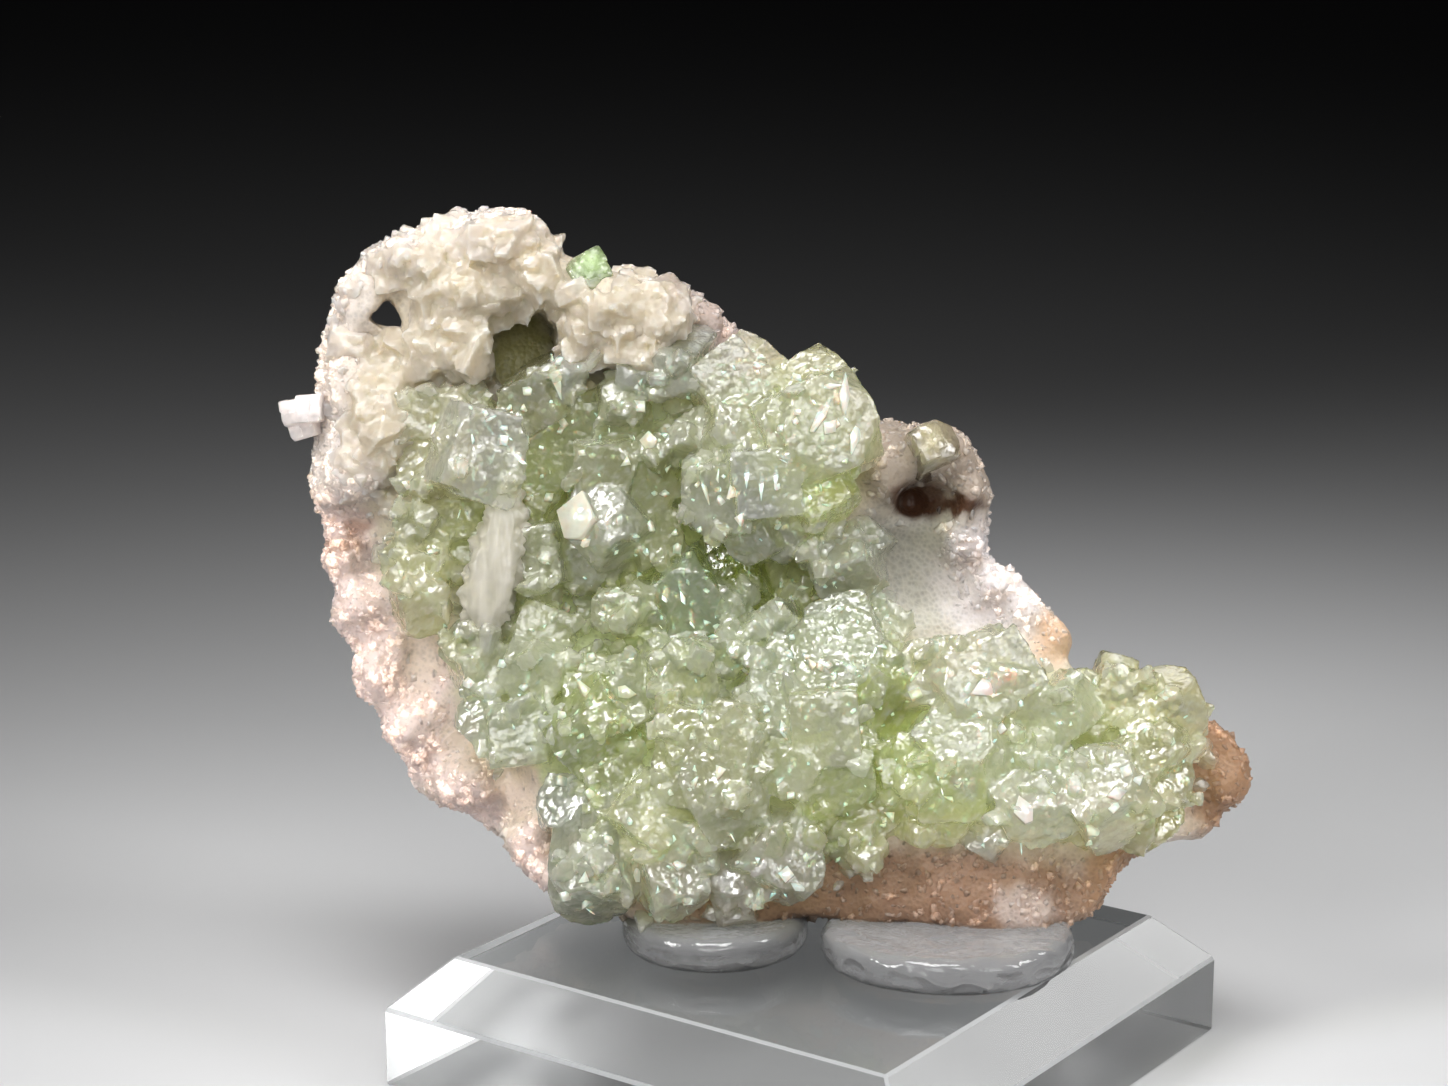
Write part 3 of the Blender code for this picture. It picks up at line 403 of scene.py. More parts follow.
def skin_arrays(mesh):
    """The places of the mesh's corners and its normals there, as arrays."""
    corners, normals = numpy.empty(3 * len(mesh.vertices)), numpy.empty(3 * len(mesh.vertices))
    mesh.vertices.foreach_get("co", corners)
    mesh.vertex_normals.foreach_get("vector", normals)
    return corners.reshape(-1, 3), normals.reshape(-1, 3)


def take_up(piece):
    """Makes the piece the only one that operators act on."""
    select_none()
    bpy.context.view_layer.objects.active = piece
    piece.select_set(True)


def cells(spot, size, number):
    """Height of packed round knobs of about the given size: 0 in the seams between them, 1 on their tops."""
    nearest = noise.voronoi(spot / size + Vector((number, 0.0, 0.0)))[0][0]
    return max(0.0, 1.0 - 1.3 * nearest)


# The relief of each kind of ground: rows of height and size in millimetres, with a number for round knobs
RELIEF = {
    "knobs": ((0.35, 3.4, 0.0), (0.20, 1.5, 5.0), (0.12, 0.6, None)),
    "grains": ((0.22, 1.6, None), (0.16, 0.7, None), (0.10, 0.9, 9.0)),
    "waves": ((0.25, 3.2, None), (0.10, 0.8, None)),
    "rough": ((0.60, 3.1, 3.0), (0.35, 1.1, None), (0.20, 0.6, None)),
    "pits": ((0.16, 0.55, None), (0.20, 1.7, None)),
}


def relief(kind, spot):
    """The height of a kind of ground at a spot, from its rows of packed knobs and of waves."""
    return sum(high * (noise.noise(spot / size) if number is None else cells(spot, size, number))
               for high, size, number in RELIEF[kind])


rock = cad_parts["matrix"].copy()
rock.data = rock.data.copy()
rock.name = "host_rock"
bpy.context.scene.collection.objects.link(rock)
rock.hide_render = False
rock.hide_set(False)
take_up(rock)
edit_all()
bpy.ops.mesh.remove_doubles(threshold=0.01 * MM)
bpy.ops.object.mode_set(mode="OBJECT")
fine_skin(rock, ROCK_GRAIN)
corners, normals = skin_arrays(rock.data)
places = face_places(corners)
forward = numpy.array(FACE.to_3x3().normalized() @ Vector((0.0, 0.0, 1.0)))
facing = normals @ forward
crust = numpy.maximum(zone(places, CREAM_CRUST), 0.6 * zone(places, LOBE) + 0.5 * zone(places, RIDGE))
sugar = numpy.maximum(zone(places, PINK_RIM), zone(places, WHITE_RIM))
smooth = numpy.maximum(numpy.maximum(zone(places, FAN), zone(places, SMOOTH_RIM)), zone(places, UNDERSIDE))
brown = numpy.maximum(zone(places, UNDERSIDE), zone(places, TIP))
behind = numpy.clip(-facing * 2.0, 0.0, 1.0)
heights = numpy.zeros(len(corners))
for number, corner in enumerate(corners / MM):
    spot = Vector(corner)
    front = relief("waves", spot) * (1.0 - crust[number])
    front += relief("knobs", spot) * crust[number] * (1.0 - smooth[number])
    front += relief("grains", spot) * sugar[number] * (1.0 - 0.7 * smooth[number])
    front += relief("pits", spot) * brown[number]
    heights[number] = front * (1.0 - behind[number]) + relief("rough", spot) * behind[number] - ROCK_SHRINK
for _ in range(ROCK_SMOOTHING):
    rock.data.vertices.foreach_set("co", corners.ravel())
    edit_all()
    bpy.ops.mesh.vertices_smooth(factor=0.5, repeat=1)
    bpy.ops.object.mode_set(mode="OBJECT")
    corners, normals = skin_arrays(rock.data)
corners += normals * heights[:, None] * MM
rock.data.vertices.foreach_set("co", corners.ravel())
rock.data.update()
bpy.ops.object.shade_smooth_by_angle(angle=math.radians(75.0))
add_colours(rock.data, "ground", ground_colours(places, facing))


def speckle_group():
    """A node group that varies a tint in two sizes and roughens the skin by fine grain."""
    made = bpy.data.node_groups.new("mineral_speckle", "ShaderNodeTree")
    made.interface.new_socket("Tint", in_out="INPUT", socket_type="NodeSocketColor")
    for name in ("Darkest", "Lightest", "Grain", "Relief"):
        made.interface.new_socket(name, in_out="INPUT", socket_type="NodeSocketFloat")
    made.interface.new_socket("Colour", in_out="OUTPUT", socket_type="NodeSocketColor")
    made.interface.new_socket("Normal", in_out="OUTPUT", socket_type="NodeSocketVector")
    nodes = made.nodes
    given = nodes.new("NodeGroupInput")
    result = nodes.new("NodeGroupOutput")
    place = nodes.new("ShaderNodeTexCoord")
    broad = new_node(nodes, "ShaderNodeTexNoise", {"Scale": 260.0, "Detail": 2.0})
    fine = nodes.new("ShaderNodeTexVoronoi")
    lift = new_node(nodes, "ShaderNodeMath", {1: 0.35})
    both = nodes.new("ShaderNodeMath")
    both.operation = "MULTIPLY"
    level = new_node(nodes, "ShaderNodeMapRange", {"From Min": 0.1, "From Max": 0.42})
    tinted = nodes.new("ShaderNodeVectorMath")
    tinted.operation = "SCALE"
    relief = new_node(nodes, "ShaderNodeBump", {"Distance": 0.25 * MM})
    wire(made, (place, "Object", broad, "Vector"), (place, "Object", fine, "Vector"),
         (given, "Grain", fine, "Scale"), (fine, "Distance", lift, 0), (broad, "Fac", both, 0), (lift, 0, both, 1),
         (both, 0, level, "Value"), (given, "Darkest", level, "To Min"), (given, "Lightest", level, "To Max"),
         (given, "Tint", tinted, 0), (level, "Result", tinted, "Scale"), (tinted, "Vector", result, "Colour"),
         (given, "Relief", relief, "Strength"), (fine, "Distance", relief, "Height"),
         (relief, "Normal", result, "Normal"))
    return made


SPECKLE = speckle_group()


def speckled(tree, attribute, spread, grain, relief):
    """Feeds a piece's own colours through the speckle to its shader."""
    own = tree.nodes.new("ShaderNodeAttribute")
    own.attribute_name = attribute
    speckle = tree.nodes.new("ShaderNodeGroup")
    speckle.node_tree = SPECKLE
    speckle.inputs["Darkest"].default_value = 1.0 - spread
    speckle.inputs["Lightest"].default_value = 1.0 + 0.5 * spread
    speckle.inputs["Grain"].default_value = grain
    speckle.inputs["Relief"].default_value = relief
    wire(tree, (own, "Color", speckle, "Tint"))
    feed(tree, speckle.outputs["Colour"], "Base Color")
    feed(tree, speckle.outputs["Normal"], "Normal")


rock_skin, tree = new_material("crusted_rock", {
    "Roughness": 0.45, "Specular IOR Level": 0.45, "Subsurface Weight": 0.8,
    "Subsurface Radius": (1.0, 0.85, 0.6), "Subsurface Scale": 1.3 * MM,
})
speckled(tree, "ground", 0.22, 2200.0, 0.4)
rock.data.materials.clear()
rock.data.materials.append(rock_skin)
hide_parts("matrix")
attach(rock, "root")


# The sugar on the rock: thousands of half-millimetre crystals that stand in every direction. They are white to
# pink on the rim, cream on the crust, and glitter where a face happens to catch a light.
# A face of a unit piece smaller than this is one of its broken edges
EDGE_FACE = 0.006
# How soon a hollow counts as a seam and a bulge as a ledge, what a seam takes from the tint as painted shade, and
# the white a ledge leans to as a painted highlight
CREASE_GAIN = 3.4
LEDGE_GAIN = 7.0
CREASE_SHADE = (0.40, 0.30, 0.55)
LEDGE_HIGHLIGHT = (0.95, 0.95, 0.88)
FROST_WHITE = (0.92, 0.92, 0.84)
# How fast frost thickens on etched lines and in cloudy places, where it starts, and its most in clouds
ETCH_FROST, ETCH_FROST_FROM = 2.6, 0.55
VEIL_FROST, VEIL_FROST_FROM, VEIL_FROST_MOST = 2.4, 0.8, 0.6
# The width, depth and length of an etched line, and the height of the skin's waves, in millimetres
STRIATION = (0.6, 0.6, 4.0)
SKIN_WAVE = 0.07
SMOOTH_UNDER = math.radians(24.0)
PALEST = (0.80, 0.73, 0.68)
# The colour the sugar grains' broken edges lean to: a painted highlight
SUGAR_EDGE_HIGHLIGHT = (0.97, 0.94, 0.90)
KNOB_GRAIN = 0.30 * MM


def arrays_of(piece):
    """A modelled piece's corners, its faces as corner numbers with the count of each, and which are its edges."""
    mesh = piece.data
    loops = numpy.empty(len(mesh.loops), dtype=int)
    mesh.loops.foreach_get("vertex_index", loops)
    counts = numpy.empty(len(mesh.polygons), dtype=int)
    mesh.polygons.foreach_get("loop_total", counts)
    areas = numpy.empty(len(mesh.polygons))
    mesh.polygons.foreach_get("area", areas)
    return skin_arrays(mesh)[0], loops, counts, numpy.repeat(areas, counts) < EDGE_FACE


def cut_block(name, corner, edge):
    """A unit block with its eight corners cut off and its edges broken: its arrays, for copies."""
    select_none()
    bpy.ops.mesh.primitive_cube_add(size=1.0, location=(0.0, 0.0, 0.0))
    block = bpy.context.object
    block.name = name
    edit_all()
    if corner > 0.0:
        bpy.ops.mesh.bevel(offset=corner, segments=1, affect="VERTICES")
    if edge > 0.0:
        bpy.ops.mesh.bevel(offset=edge, segments=1)
    bpy.ops.object.mode_set(mode="OBJECT")
    arrays = arrays_of(block)
    bpy.data.objects.remove(block)
    return arrays


def cut_shard(name, number, edge=0.0):
    """A unit block broken to an irregular splinter by slanting cuts: its arrays, for copies."""
    chips = random.Random(number)
    select_none()
    bpy.ops.mesh.primitive_cube_add(size=1.0, location=(0.0, 0.0, 0.0))
    shard = bpy.context.object
    shard.name = name
    bpy.ops.object.mode_set(mode="EDIT")
    for _ in range(5):
        bpy.ops.mesh.select_all(action="SELECT")
        way = Vector((chips.gauss(0, 1), chips.gauss(0, 1), chips.gauss(0, 0.8))).normalized()
        cut = way * chips.uniform(0.26, 0.44)
        bpy.ops.mesh.bisect(plane_co=cut, plane_no=way, use_fill=True, clear_outer=True)
    bpy.ops.mesh.select_all(action="SELECT")
    bpy.ops.mesh.remove_doubles(threshold=0.01)
    if edge > 0.0:
        bpy.ops.mesh.bevel(offset=edge, segments=1)
    bpy.ops.object.mode_set(mode="OBJECT")
    arrays = arrays_of(shard)
    bpy.data.objects.remove(shard)
    return arrays


def cut_chip(name, number):
    """A unit plate with a flat top and three to five uneven sides: its arrays, for copies."""
    select_none()
    sides = 3 + number % 3
    bpy.ops.mesh.primitive_cylinder_add(vertices=sides, radius=0.55, depth=1.0)
    chip = bpy.context.object
    chip.name = name
    for corner in chip.data.vertices:
        grow = 1.0 + 0.35 * math.sin(4.1 * math.atan2(corner.co.y, corner.co.x) + number)
        corner.co = (corner.co.x * grow, corner.co.y * grow, math.copysign(0.5, corner.co.z))
    arrays = arrays_of(chip)
    bpy.data.objects.remove(chip)
    return arrays


def copies_joined(name, copies, paint, edge_highlight_colour=(0.96, 0.97, 0.94), edge_highlight_share=0.6):
    """One mesh of many copies, each (arrays, matrix, colour); each copy's broken edges lean to the edge colour, a
    painted highlight.
    """
    all_corners, all_loops, all_counts, all_colours = [], [], [], []
    start = 0
    for (corners, loops, counts, edges), matrix, colour in copies:
        turn = numpy.array(matrix)
        all_corners.append(corners @ turn[:3, :3].T + turn[:3, 3])
        all_loops.append(loops + start)
        all_counts.append(counts)
        # The broken edges are painted lighter, a painted highlight
        share = (edges * edge_highlight_share)[:, None]
        all_colours.append(numpy.asarray(colour) * (1.0 - share) + numpy.array(edge_highlight_colour) * share)
        start += len(corners)
    corners = numpy.concatenate(all_corners)
    loops = numpy.concatenate(all_loops)
    counts = numpy.concatenate(all_counts)
    mesh = bpy.data.meshes.new(name)
    mesh.vertices.add(len(corners))
    mesh.vertices.foreach_set("co", corners.ravel())
    mesh.loops.add(len(loops))
    mesh.loops.foreach_set("vertex_index", loops)
    mesh.polygons.add(len(counts))
    mesh.polygons.foreach_set("loop_start", numpy.concatenate(((0,), numpy.cumsum(counts)[:-1])))
    mesh.update(calc_edges=True)
    kept = mesh.color_attributes.new("tint", "FLOAT_COLOR", "CORNER")
    tints = numpy.column_stack((numpy.concatenate(all_colours), numpy.ones(len(loops))))
    kept.data.foreach_set("color", tints.ravel())
    mesh.materials.append(paint)
    made = bpy.data.objects.new(name, mesh)
    bpy.context.scene.collection.objects.link(made)
    return made


def neighbours_mean(mesh, values):
    """The mean of the values at the corners joined to each corner by an edge."""
    ends = numpy.empty(2 * len(mesh.edges), dtype=int)
    mesh.edges.foreach_get("vertices", ends)
    ends = ends.reshape(-1, 2)
    total = numpy.zeros_like(values)
    count = numpy.zeros(len(values))
    for near, far in ((0, 1), (1, 0)):
        for axis in range(values.shape[1]):
            total[:, axis] += numpy.bincount(ends[:, near], values[ends[:, far], axis], len(values))
        count += numpy.bincount(ends[:, near], minlength=len(values))
    return total / numpy.maximum(count, 1.0)[:, None]


def grown_together(name, copies, paint, grain, etching, frosting):
    """Crystals grown into one skin of the grain: seams close and are darkened by painted shade, ledges are
    whitened by a painted highlight, faces are etched, and frost lies on the etching.
    """
    piece = copies_joined(name, copies, paint)
    mesh = piece.data
    flat = numpy.empty(4 * len(mesh.loops))
    mesh.color_attributes["tint"].data.foreach_get("color", flat)
    starts = numpy.empty(len(mesh.polygons), dtype=int)
    mesh.polygons.foreach_get("loop_start", starts)
    face_tints = flat.reshape(-1, 4)[starts, :3]
    face_copies = numpy.repeat(numpy.arange(len(copies)), [len(copy[0][2]) for copy in copies])
    turns = numpy.array([copy[1].to_3x3() for copy in copies])
    turns /= numpy.linalg.norm(turns, axis=1, keepdims=True)
    tree = BVHTree.FromPolygons([v.co for v in mesh.vertices], [p.vertices for p in mesh.polygons])
    take_up(piece)
    fine_skin(piece, grain)
    mesh = piece.data
    corners, normals = skin_arrays(mesh)
    owners = numpy.array([tree.find_nearest(corner)[2] for corner in corners])
    tints = neighbours_mean(mesh, face_tints[owners])
    level = corners
    for _ in range(2):
        level = neighbours_mean(mesh, level)
    bulge = ((corners - level) * normals).sum(axis=1) / MM
    # Painted shade darkens the hollow seams, and a painted highlight whitens the bulging ledges
    crease = numpy.clip(-bulge * CREASE_GAIN, 0.0, 1.0)[:, None]
    ledge = numpy.clip(bulge * LEDGE_GAIN - 0.25, 0.0, 0.9)[:, None]
    tints = tints * (1.0 - crease * numpy.array(CREASE_SHADE))
    tints = tints * (1.0 - ledge) + numpy.array(LEDGE_HIGHLIGHT) * ledge
    own = numpy.einsum("ni,nij->nj", corners / MM, turns[face_copies[owners]]) / numpy.array(STRIATION)
    etched = numpy.array([noise.noise(Vector(c)) + 0.5 * noise.noise(Vector(c) * 2.3) for c in own])
    waves = numpy.array([noise.noise(Vector(c) / 1.5) for c in corners / MM])
    veils = numpy.array([noise.fractal(Vector(c) / 2.2, 1.0, 2.0, 3) for c in corners / MM])
    frost = numpy.clip(etched * ETCH_FROST - ETCH_FROST_FROM, 0.0, 1.0)
    frost = numpy.maximum(frost, numpy.clip(veils * VEIL_FROST - VEIL_FROST_FROM, 0.0, VEIL_FROST_MOST))
    frost = (frost * frosting)[:, None]
    tints = tints * (1.0 - frost) + numpy.array(FROST_WHITE) * frost
    corners += normals * (etching * etched + SKIN_WAVE * waves)[:, None] * MM
    mesh.vertices.foreach_set("co", corners.ravel())
    mesh.update()
    for old in list(mesh.color_attributes):
        mesh.color_attributes.remove(old)
    add_colours(mesh, "tint", tints)
    bpy.ops.object.shade_smooth_by_angle(angle=SMOOTH_UNDER)
    return piece


draw = random.Random(11)
SUGAR = tuple(cut_shard("sugar_grain", number) for number in range(4))
KNOBS = (cut_block("crust_knob", 0.3, 0.0), *(cut_shard("crust_knob", number) for number in range(40, 46)))


def any_turn():
    """A turn in any direction."""
    axis = Vector((draw.gauss(0, 1), draw.gauss(0, 1), draw.gauss(0, 1))).normalized()
    return Matrix.Rotation(draw.uniform(0.0, 2.0 * math.pi), 4, axis)


def scattered(share, count, sizes, colour_of, masters, proud):
    """Grains of the sizes on the rock where the share is high, sunk or proud by a part of their size."""
    chance = numpy.cumsum(share)
    chance /= chance[-1]
    copies = []
    for _ in range(count):
        spot = int(numpy.searchsorted(chance, draw.random()))
        size = draw.uniform(*sizes) * MM
        stretch = Matrix.Diagonal((size, size * draw.uniform(0.6, 1.0), size * draw.uniform(0.7, 1.5), 1.0))
        place = Vector(corners[spot] + normals[spot] * size * draw.uniform(*proud))
        copies.append((draw.choice(masters), Matrix.Translation(place) @ any_turn() @ stretch, colour_of(spot)))
    return copies


# The through hole of the crust and the crystal on the crest are kept free of grains
KEPT_FREE = ((-34.0, 22.9, 3.2, 2.9), (-13.4, 27.6, 3.0, 2.6))
FAN_EDGE = ((28.5, -5.0, 4.5, 3.0), (24.5, -1.0, 3.0, 2.0), (31.5, -8.0, 2.4, 2.4))
ground = ground_colours(places, facing)
front_share = numpy.clip(facing * 1.5 + 0.9, 0.0, 1.0)
rim_share = sugar * (1.0 - 0.85 * zone(places, SMOOTH_RIM)) * front_share
kept_free = 1.0 - numpy.clip(3.0 * zone(places, KEPT_FREE), 0.0, 1.0)
crust_share = zone(places, CREAM_CRUST) * numpy.clip(1.0 - 2.0 * zone(places, CAVE), 0.0, 1.0) * front_share
lobe_share = (zone(places, LOBE) + zone(places, RIDGE)) * (1.0 - zone(places, POCKET)) * front_share

sugar_white, tree = new_material("sugar_crystals", {
    "Roughness": 0.3, "IOR": 1.5, "Subsurface Weight": 1.0, "Subsurface Radius": (1.0, 0.85, 0.7),
    "Subsurface Scale": 1.8 * MM, "Coat Weight": 0.15, "Coat Roughness": 0.1,
})
speckled(tree, "tint", 0.10, 1800.0, 0.1)
let_light_through(tree, (0.98, 0.88, 0.80), 0.8)


def pale(share):
    """The ground's own colour moved towards white by the share."""
    return lambda spot: ground[spot] * (1.0 - share) + numpy.array(PALEST) * share


# Each kind of grain: what it joins, where it grows, how many, their sizes, how pale, their shapes and how proud
GRAINS = (
    ("rim_sugar", rim_share * kept_free, 4200, (0.4, 0.9), 0.12, SUGAR, (-0.46, -0.22)),
    ("rim_sugar", zone(places, FAN_EDGE) * front_share, 420, (0.3, 0.8), 0.3, SUGAR, (-0.4, -0.1)),
    ("crust_sugar", crust_share * kept_free, 500, (0.4, 0.9), 0.35, SUGAR, (-0.35, 0.05)),
    ("crust_knobs", crust_share * kept_free, 330, (1.8, 4.0), 0.1, KNOBS[1:], (-0.40, -0.20)),
    ("crust_knobs", crust_share * kept_free, 1300, (0.7, 1.6), 0.25, KNOBS, (-0.30, 0.05)),
    ("crust_sugar", lobe_share, 600, (0.4, 1.0), 0.12, SUGAR, (-0.4, -0.1)),
    ("rim_sugar", brown * front_share, 1500, (0.3, 0.8), 0.06, SUGAR, (-0.3, -0.05)),
)
piles = {"rim_sugar": [], "crust_sugar": [], "crust_knobs": []}
for name, share, count, sizes, paleness, masters, proud in GRAINS:
    piles[name] += scattered(share, count, sizes, pale(paleness), masters, proud)
for name in ("rim_sugar", "crust_sugar"):
    grains = copies_joined(name, piles[name], sugar_white, SUGAR_EDGE_HIGHLIGHT, 0.3)
    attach(grains, "root")

wax, tree = new_material("waxy_crust", {
    "Roughness": 0.28, "IOR": 1.5, "Transmission Weight": 0.3, "Subsurface Weight": 1.0,
    "Subsurface Radius": (1.0, 0.85, 0.55), "Subsurface Scale": 1.8 * MM, "Coat Weight": 0.4,
    "Coat Roughness": 0.08,
})
speckled(tree, "tint", 0.10, 1500.0, 0.25)
let_light_through(tree, (0.95, 0.9, 0.78), 0.5)
knobs = grown_together("crust_knobs", piles["crust_knobs"], wax, KNOB_GRAIN, 0.10, 0.3)
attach(knobs, "root")


# The green druse: blocky tetragonal crystals of apophyllite, grown over and through each other. Each is stepped by
# smaller crystals in the same turn as itself, and small ones fill every gap between the large ones.

# How far the rock's front stands out at points of the face, and the outline of the druse on it, in millimetres
ROCK_FRONT = (
    (-38, 20, 0.5), (-33, 26, 3), (-25, 29, 4.5), (-19, 29, 3), (-37, 13, 1), (-33, 8, 0.5),
    (-20, 19, -3), (-29, 13, 1), (-20, 9, -1), (-10, 22, 2.5), (-2, 20, -1.5), (4, 16, 2.5),
    (11, 11, 4), (9, 5, 3.5), (-15, 0, -2), (-3, -3, -3.5), (5, -5, -3), (20, 8, 2.5),
    (24, 3, 0.5), (20, -4, -1.5), (27, -7, -1), (22, -10, 0), (-38, -3, -4), (-32, -6, -0.5),
    (-35, -13, -4), (-29, -17, -0.5), (-25, -24, -2), (-18, -31, 1), (-26, -5, -0.5), (-23, -13, 1),
    (-16, -22, 4), (-5, -24, 8), (5, -23, 9), (13, -21, 9), (22, -19, 9), (31, -20, 9),
    (40, -20, 7), (46, -20, 5), (-10, -12, 1), (3, -12, 2), (12, -12, 2), (30, -12, 3),
    (-8, -34, 9), (5, -34, 8.5), (15, -33, 9), (28, -33, 10), (36, -33, 8), (10, -38, 8.5),
    (28, -39, 10.5), (50, -23, 3),
)
DRUSE_OUTLINE = (
    (-33.0, 14.5), (-27.5, 16.5), (-22.5, 16.0), (-16.5, 18.0), (-8.5, 18.0), (-2.5, 18.5),
    (3.5, 18.5), (10.5, 17.0), (14.5, 13.5), (15.5, 10.5), (12.0, 6.5), (10.0, 2.5),
    (15.5, 0.5), (16.0, -5.5), (20.5, -9.5), (27.5, -9.5), (33.5, -12.0), (40.5, -12.5),
    (47.0, -16.0), (48.0, -21.5), (46.0, -25.5), (39.5, -30.0), (33.5, -28.5), (25.5, -29.5),
    (17.5, -29.0), (13.5, -32.5), (7.5, -34.0), (3.5, -36.0), (-3.5, -37.0), (-10.5, -37.0),
    (-16.0, -35.0), (-16.5, -28.5), (-17.5, -22.5), (-22.5, -24.0), (-23.5, -20.5), (-26.0, -16.0),
    (-27.5, -9.5), (-32.5, -5.5), (-35.0, -1.5), (-33.5, 2.5), (-32.5, 8.5),
)
# Large crystals that are placed with less care: across, up, how far out the end face is, and width in millimetres
CRYSTALS = (
    # Upper left, under the cream crust
    (-30.0, 13.0, 4.0, 5.0), (-30.4, 8.4, 4.0, 5.4), (-23.3, 9.3, 7.5, 7.6), (-19.7, 13.6, 5.5, 5.4),
    (-31.0, 2.3, 4.0, 3.0), (-27.2, 3.2, 2.0, 5.4), (-32.6, -2.0, 3.5, 4.2), (-29.8, -3.4, 4.0, 4.6),
    (-25.6, 14.2, 3.0, 4.4), (-26.6, -1.6, 1.5, 4.4), (-29.6, -7.4, 4.0, 4.6), (-26.2, -10.6, 4.5, 4.8),
    # Upper middle
    (-10.0, 15.0, 6.0, 4.4), (-8.3, 17.8, 6.0, 3.4), (-5.8, 16.8, 6.5, 4.6), (-3.2, 17.6, 5.5, 3.4),
    (-7.1, 9.7, 6.0, 3.2), (-12.2, 7.0, 6.0, 5.6), (-7.6, 5.6, 4.0, 5.6), (-2.8, 12.0, 5.5, 4.2),
    (-6.6, 1.0, 3.5, 5.4), (-14.4, -2.8, 3.0, 5.2), (-19.2, -1.8, 5.0, 5.4), (-18.4, 6.0, 2.0, 5.0),
    (-11.4, -6.8, 5.5, 4.4), (-8.2, -8.4, 4.5, 4.6), (-18.0, -8.8, 4.5, 5.4), (0.4, -1.8, 2.0, 5.6),
    # The ridge at the upper right
    (4.4, 16.6, 5.5, 5.2), (-0.6, 4.2, 9.0, 7.4),
    (9.0, 6.6, 9.0, 6.4), (2.2, 12.2, 8.5, 5.6), (2.2, 0.2, 6.5, 5.0), (6.0, 1.2, 6.0, 4.6),
    (9.4, 0.8, 4.5, 4.2), (13.6, 0.4, 3.0, 4.4), (1.2, -6.6, 4.5, 3.2), (4.6, -8.4, 5.5, 4.6),
    # The lower ridge, left half
    (5.6, -12.4, 8.5, 4.8), (-3.4, -14.2, 9.5, 5.8), (-0.2, -11.6, 7.0, 4.2), (-8.6, -13.6, 6.5, 5.4),
    (-13.2, -13.6, 6.5, 5.8), (-19.4, -13.4, 6.0, 6.0), (-23.6, -12.8, 5.0, 4.8), (-24.8, -17.0, 5.0, 5.0),
    (-20.2, -19.0, 6.5, 6.4), (-12.6, -20.4, 10.0, 7.6), (-2.6, -21.8, 14.5, 9.6), (2.6, -20.0, 14.0, 6.6),
    (5.8, -23.0, 14.0, 5.0), (11.4, -23.8, 13.5, 7.0), (-6.8, -26.6, 13.0, 6.6), (-16.4, -25.6, 8.0, 5.6),
    (1.0, -27.4, 14.0, 6.6), (-4.4, -31.4, 12.0, 6.8), (0.6, -32.6, 11.5, 5.6), (7.0, -31.0, 13.5, 7.2),
    (12.6, -30.6, 11.5, 4.6), (14.6, -27.2, 11.0, 5.0), (5.0, -16.4, 12.0, 5.6), (10.4, -14.2, 11.0, 5.0),
    # The lower ridge, right half
    (16.9, -16.4, 10.5, 6.6), (21.4, -12.6, 11.0, 6.6), (23.6, -18.8, 13.5, 7.0), (29.6, -15.6, 12.5, 6.0),
    (33.0, -17.6, 12.5, 5.4), (36.0, -15.8, 9.0, 6.0), (18.0, -21.8, 11.5, 4.8), (21.4, -28.0, 11.5, 5.4),
    (26.4, -23.2, 13.0, 5.6), (37.2, -23.4, 14.5, 7.4), (40.2, -15.6, 9.5, 5.6), (45.4, -18.0, 9.0, 6.4),
    (41.6, -20.8, 11.5, 5.6), (44.6, -22.8, 10.0, 5.6), (36.4, -27.6, 11.0, 5.6), (40.2, -28.2, 10.0, 5.6),
    (43.6, -26.6, 8.5, 5.0), (25.6, -28.6, 10.5, 4.6), (17.4, -27.4, 10.0, 4.2), (32.6, -21.4, 12.0, 4.6),
)
# The crystals that give the druse its look, each set as it stands: across, up, out, width, length, its lean to the
# right and upward, its turn in degrees, and the cut of its corners
SET_CRYSTALS = (
    (-15.2, 18.2, 6.0, 3.0, 7.5, 25, 48, 20, 0.3),
    (-16.4, 9.6, 3.4, 8.8, 7.0, 0, -8, 2, 0.1),
    (-10.6, 10.0, 3.8, 4.6, 7.0, 4, -6, 4, 0.12),
    (-13.0, 2.8, 6.5, 7.2, 9.0, -18, 12, 40, 0.45),
    (1.0, 16.4, 7.5, 6.6, 9.0, 4, 12, 42, 0.42),
    (9.4, 16.4, 6.5, 6.6, 9.0, 2, 14, 40, 0.4),
    (10.7, 12.0, 11.5, 9.6, 10.0, 10, 4, 22, 0.42),
    (4.5, 5.8, 11.0, 6.4, 10.0, 6, -4, 4, 0.12),
    (12.5, -4.4, 5.0, 6.4, 9.0, 4, -38, 30, 0.46),
    (-3.9, -6.6, 4.0, 7.8, 8.0, -6, -18, 38, 0.3),
    (11.2, -10.4, 10.5, 8.6, 10.0, -12, 22, 20, 0.28),
    (10.1, -18.4, 15.0, 6.6, 9.0, -3, -4, 4, 0.14),
    (26.2, -13.2, 13.0, 8.8, 10.0, 8, 14, 30, 0.4),
    (22.7, -24.6, 13.5, 6.6, 9.0, 0, -8, 3, 0.12),
    (31.4, -28.4, 14.0, 6.2, 10.0, 14, -38, 25, 0.46),
    (-12.8, -36.0, 11.5, 7.2, 13.0, -6, -58, 30, 0.36),
    (-4.4, -36.6, 12.0, 5.4, 11.0, 32, -52, 15, 0.45),
)
# A crystal's lean and turn follow from its number in the list: most lean in degrees, and steps in turns
CRYSTAL_LEAN = 26.0
CRYSTAL_CORNER = (0.2, 0.42)
CRYSTAL_LEAST = 0.6
ROOT = 2.0
LEAN_STEPS = (0.618, 0.271)
TURN_STEP = 0.414
CORNER_STEP = 0.732
FILL_FROM = (-45.0, -42.0)
FILL_STEP = 4.4
FILL_ROWS = 22
FILL_STRAY = 0.3
FILL_WIDTH = (3.2, 4.4)
FILL_CROWDED = 0.34
FILL_STANDS = 0.75


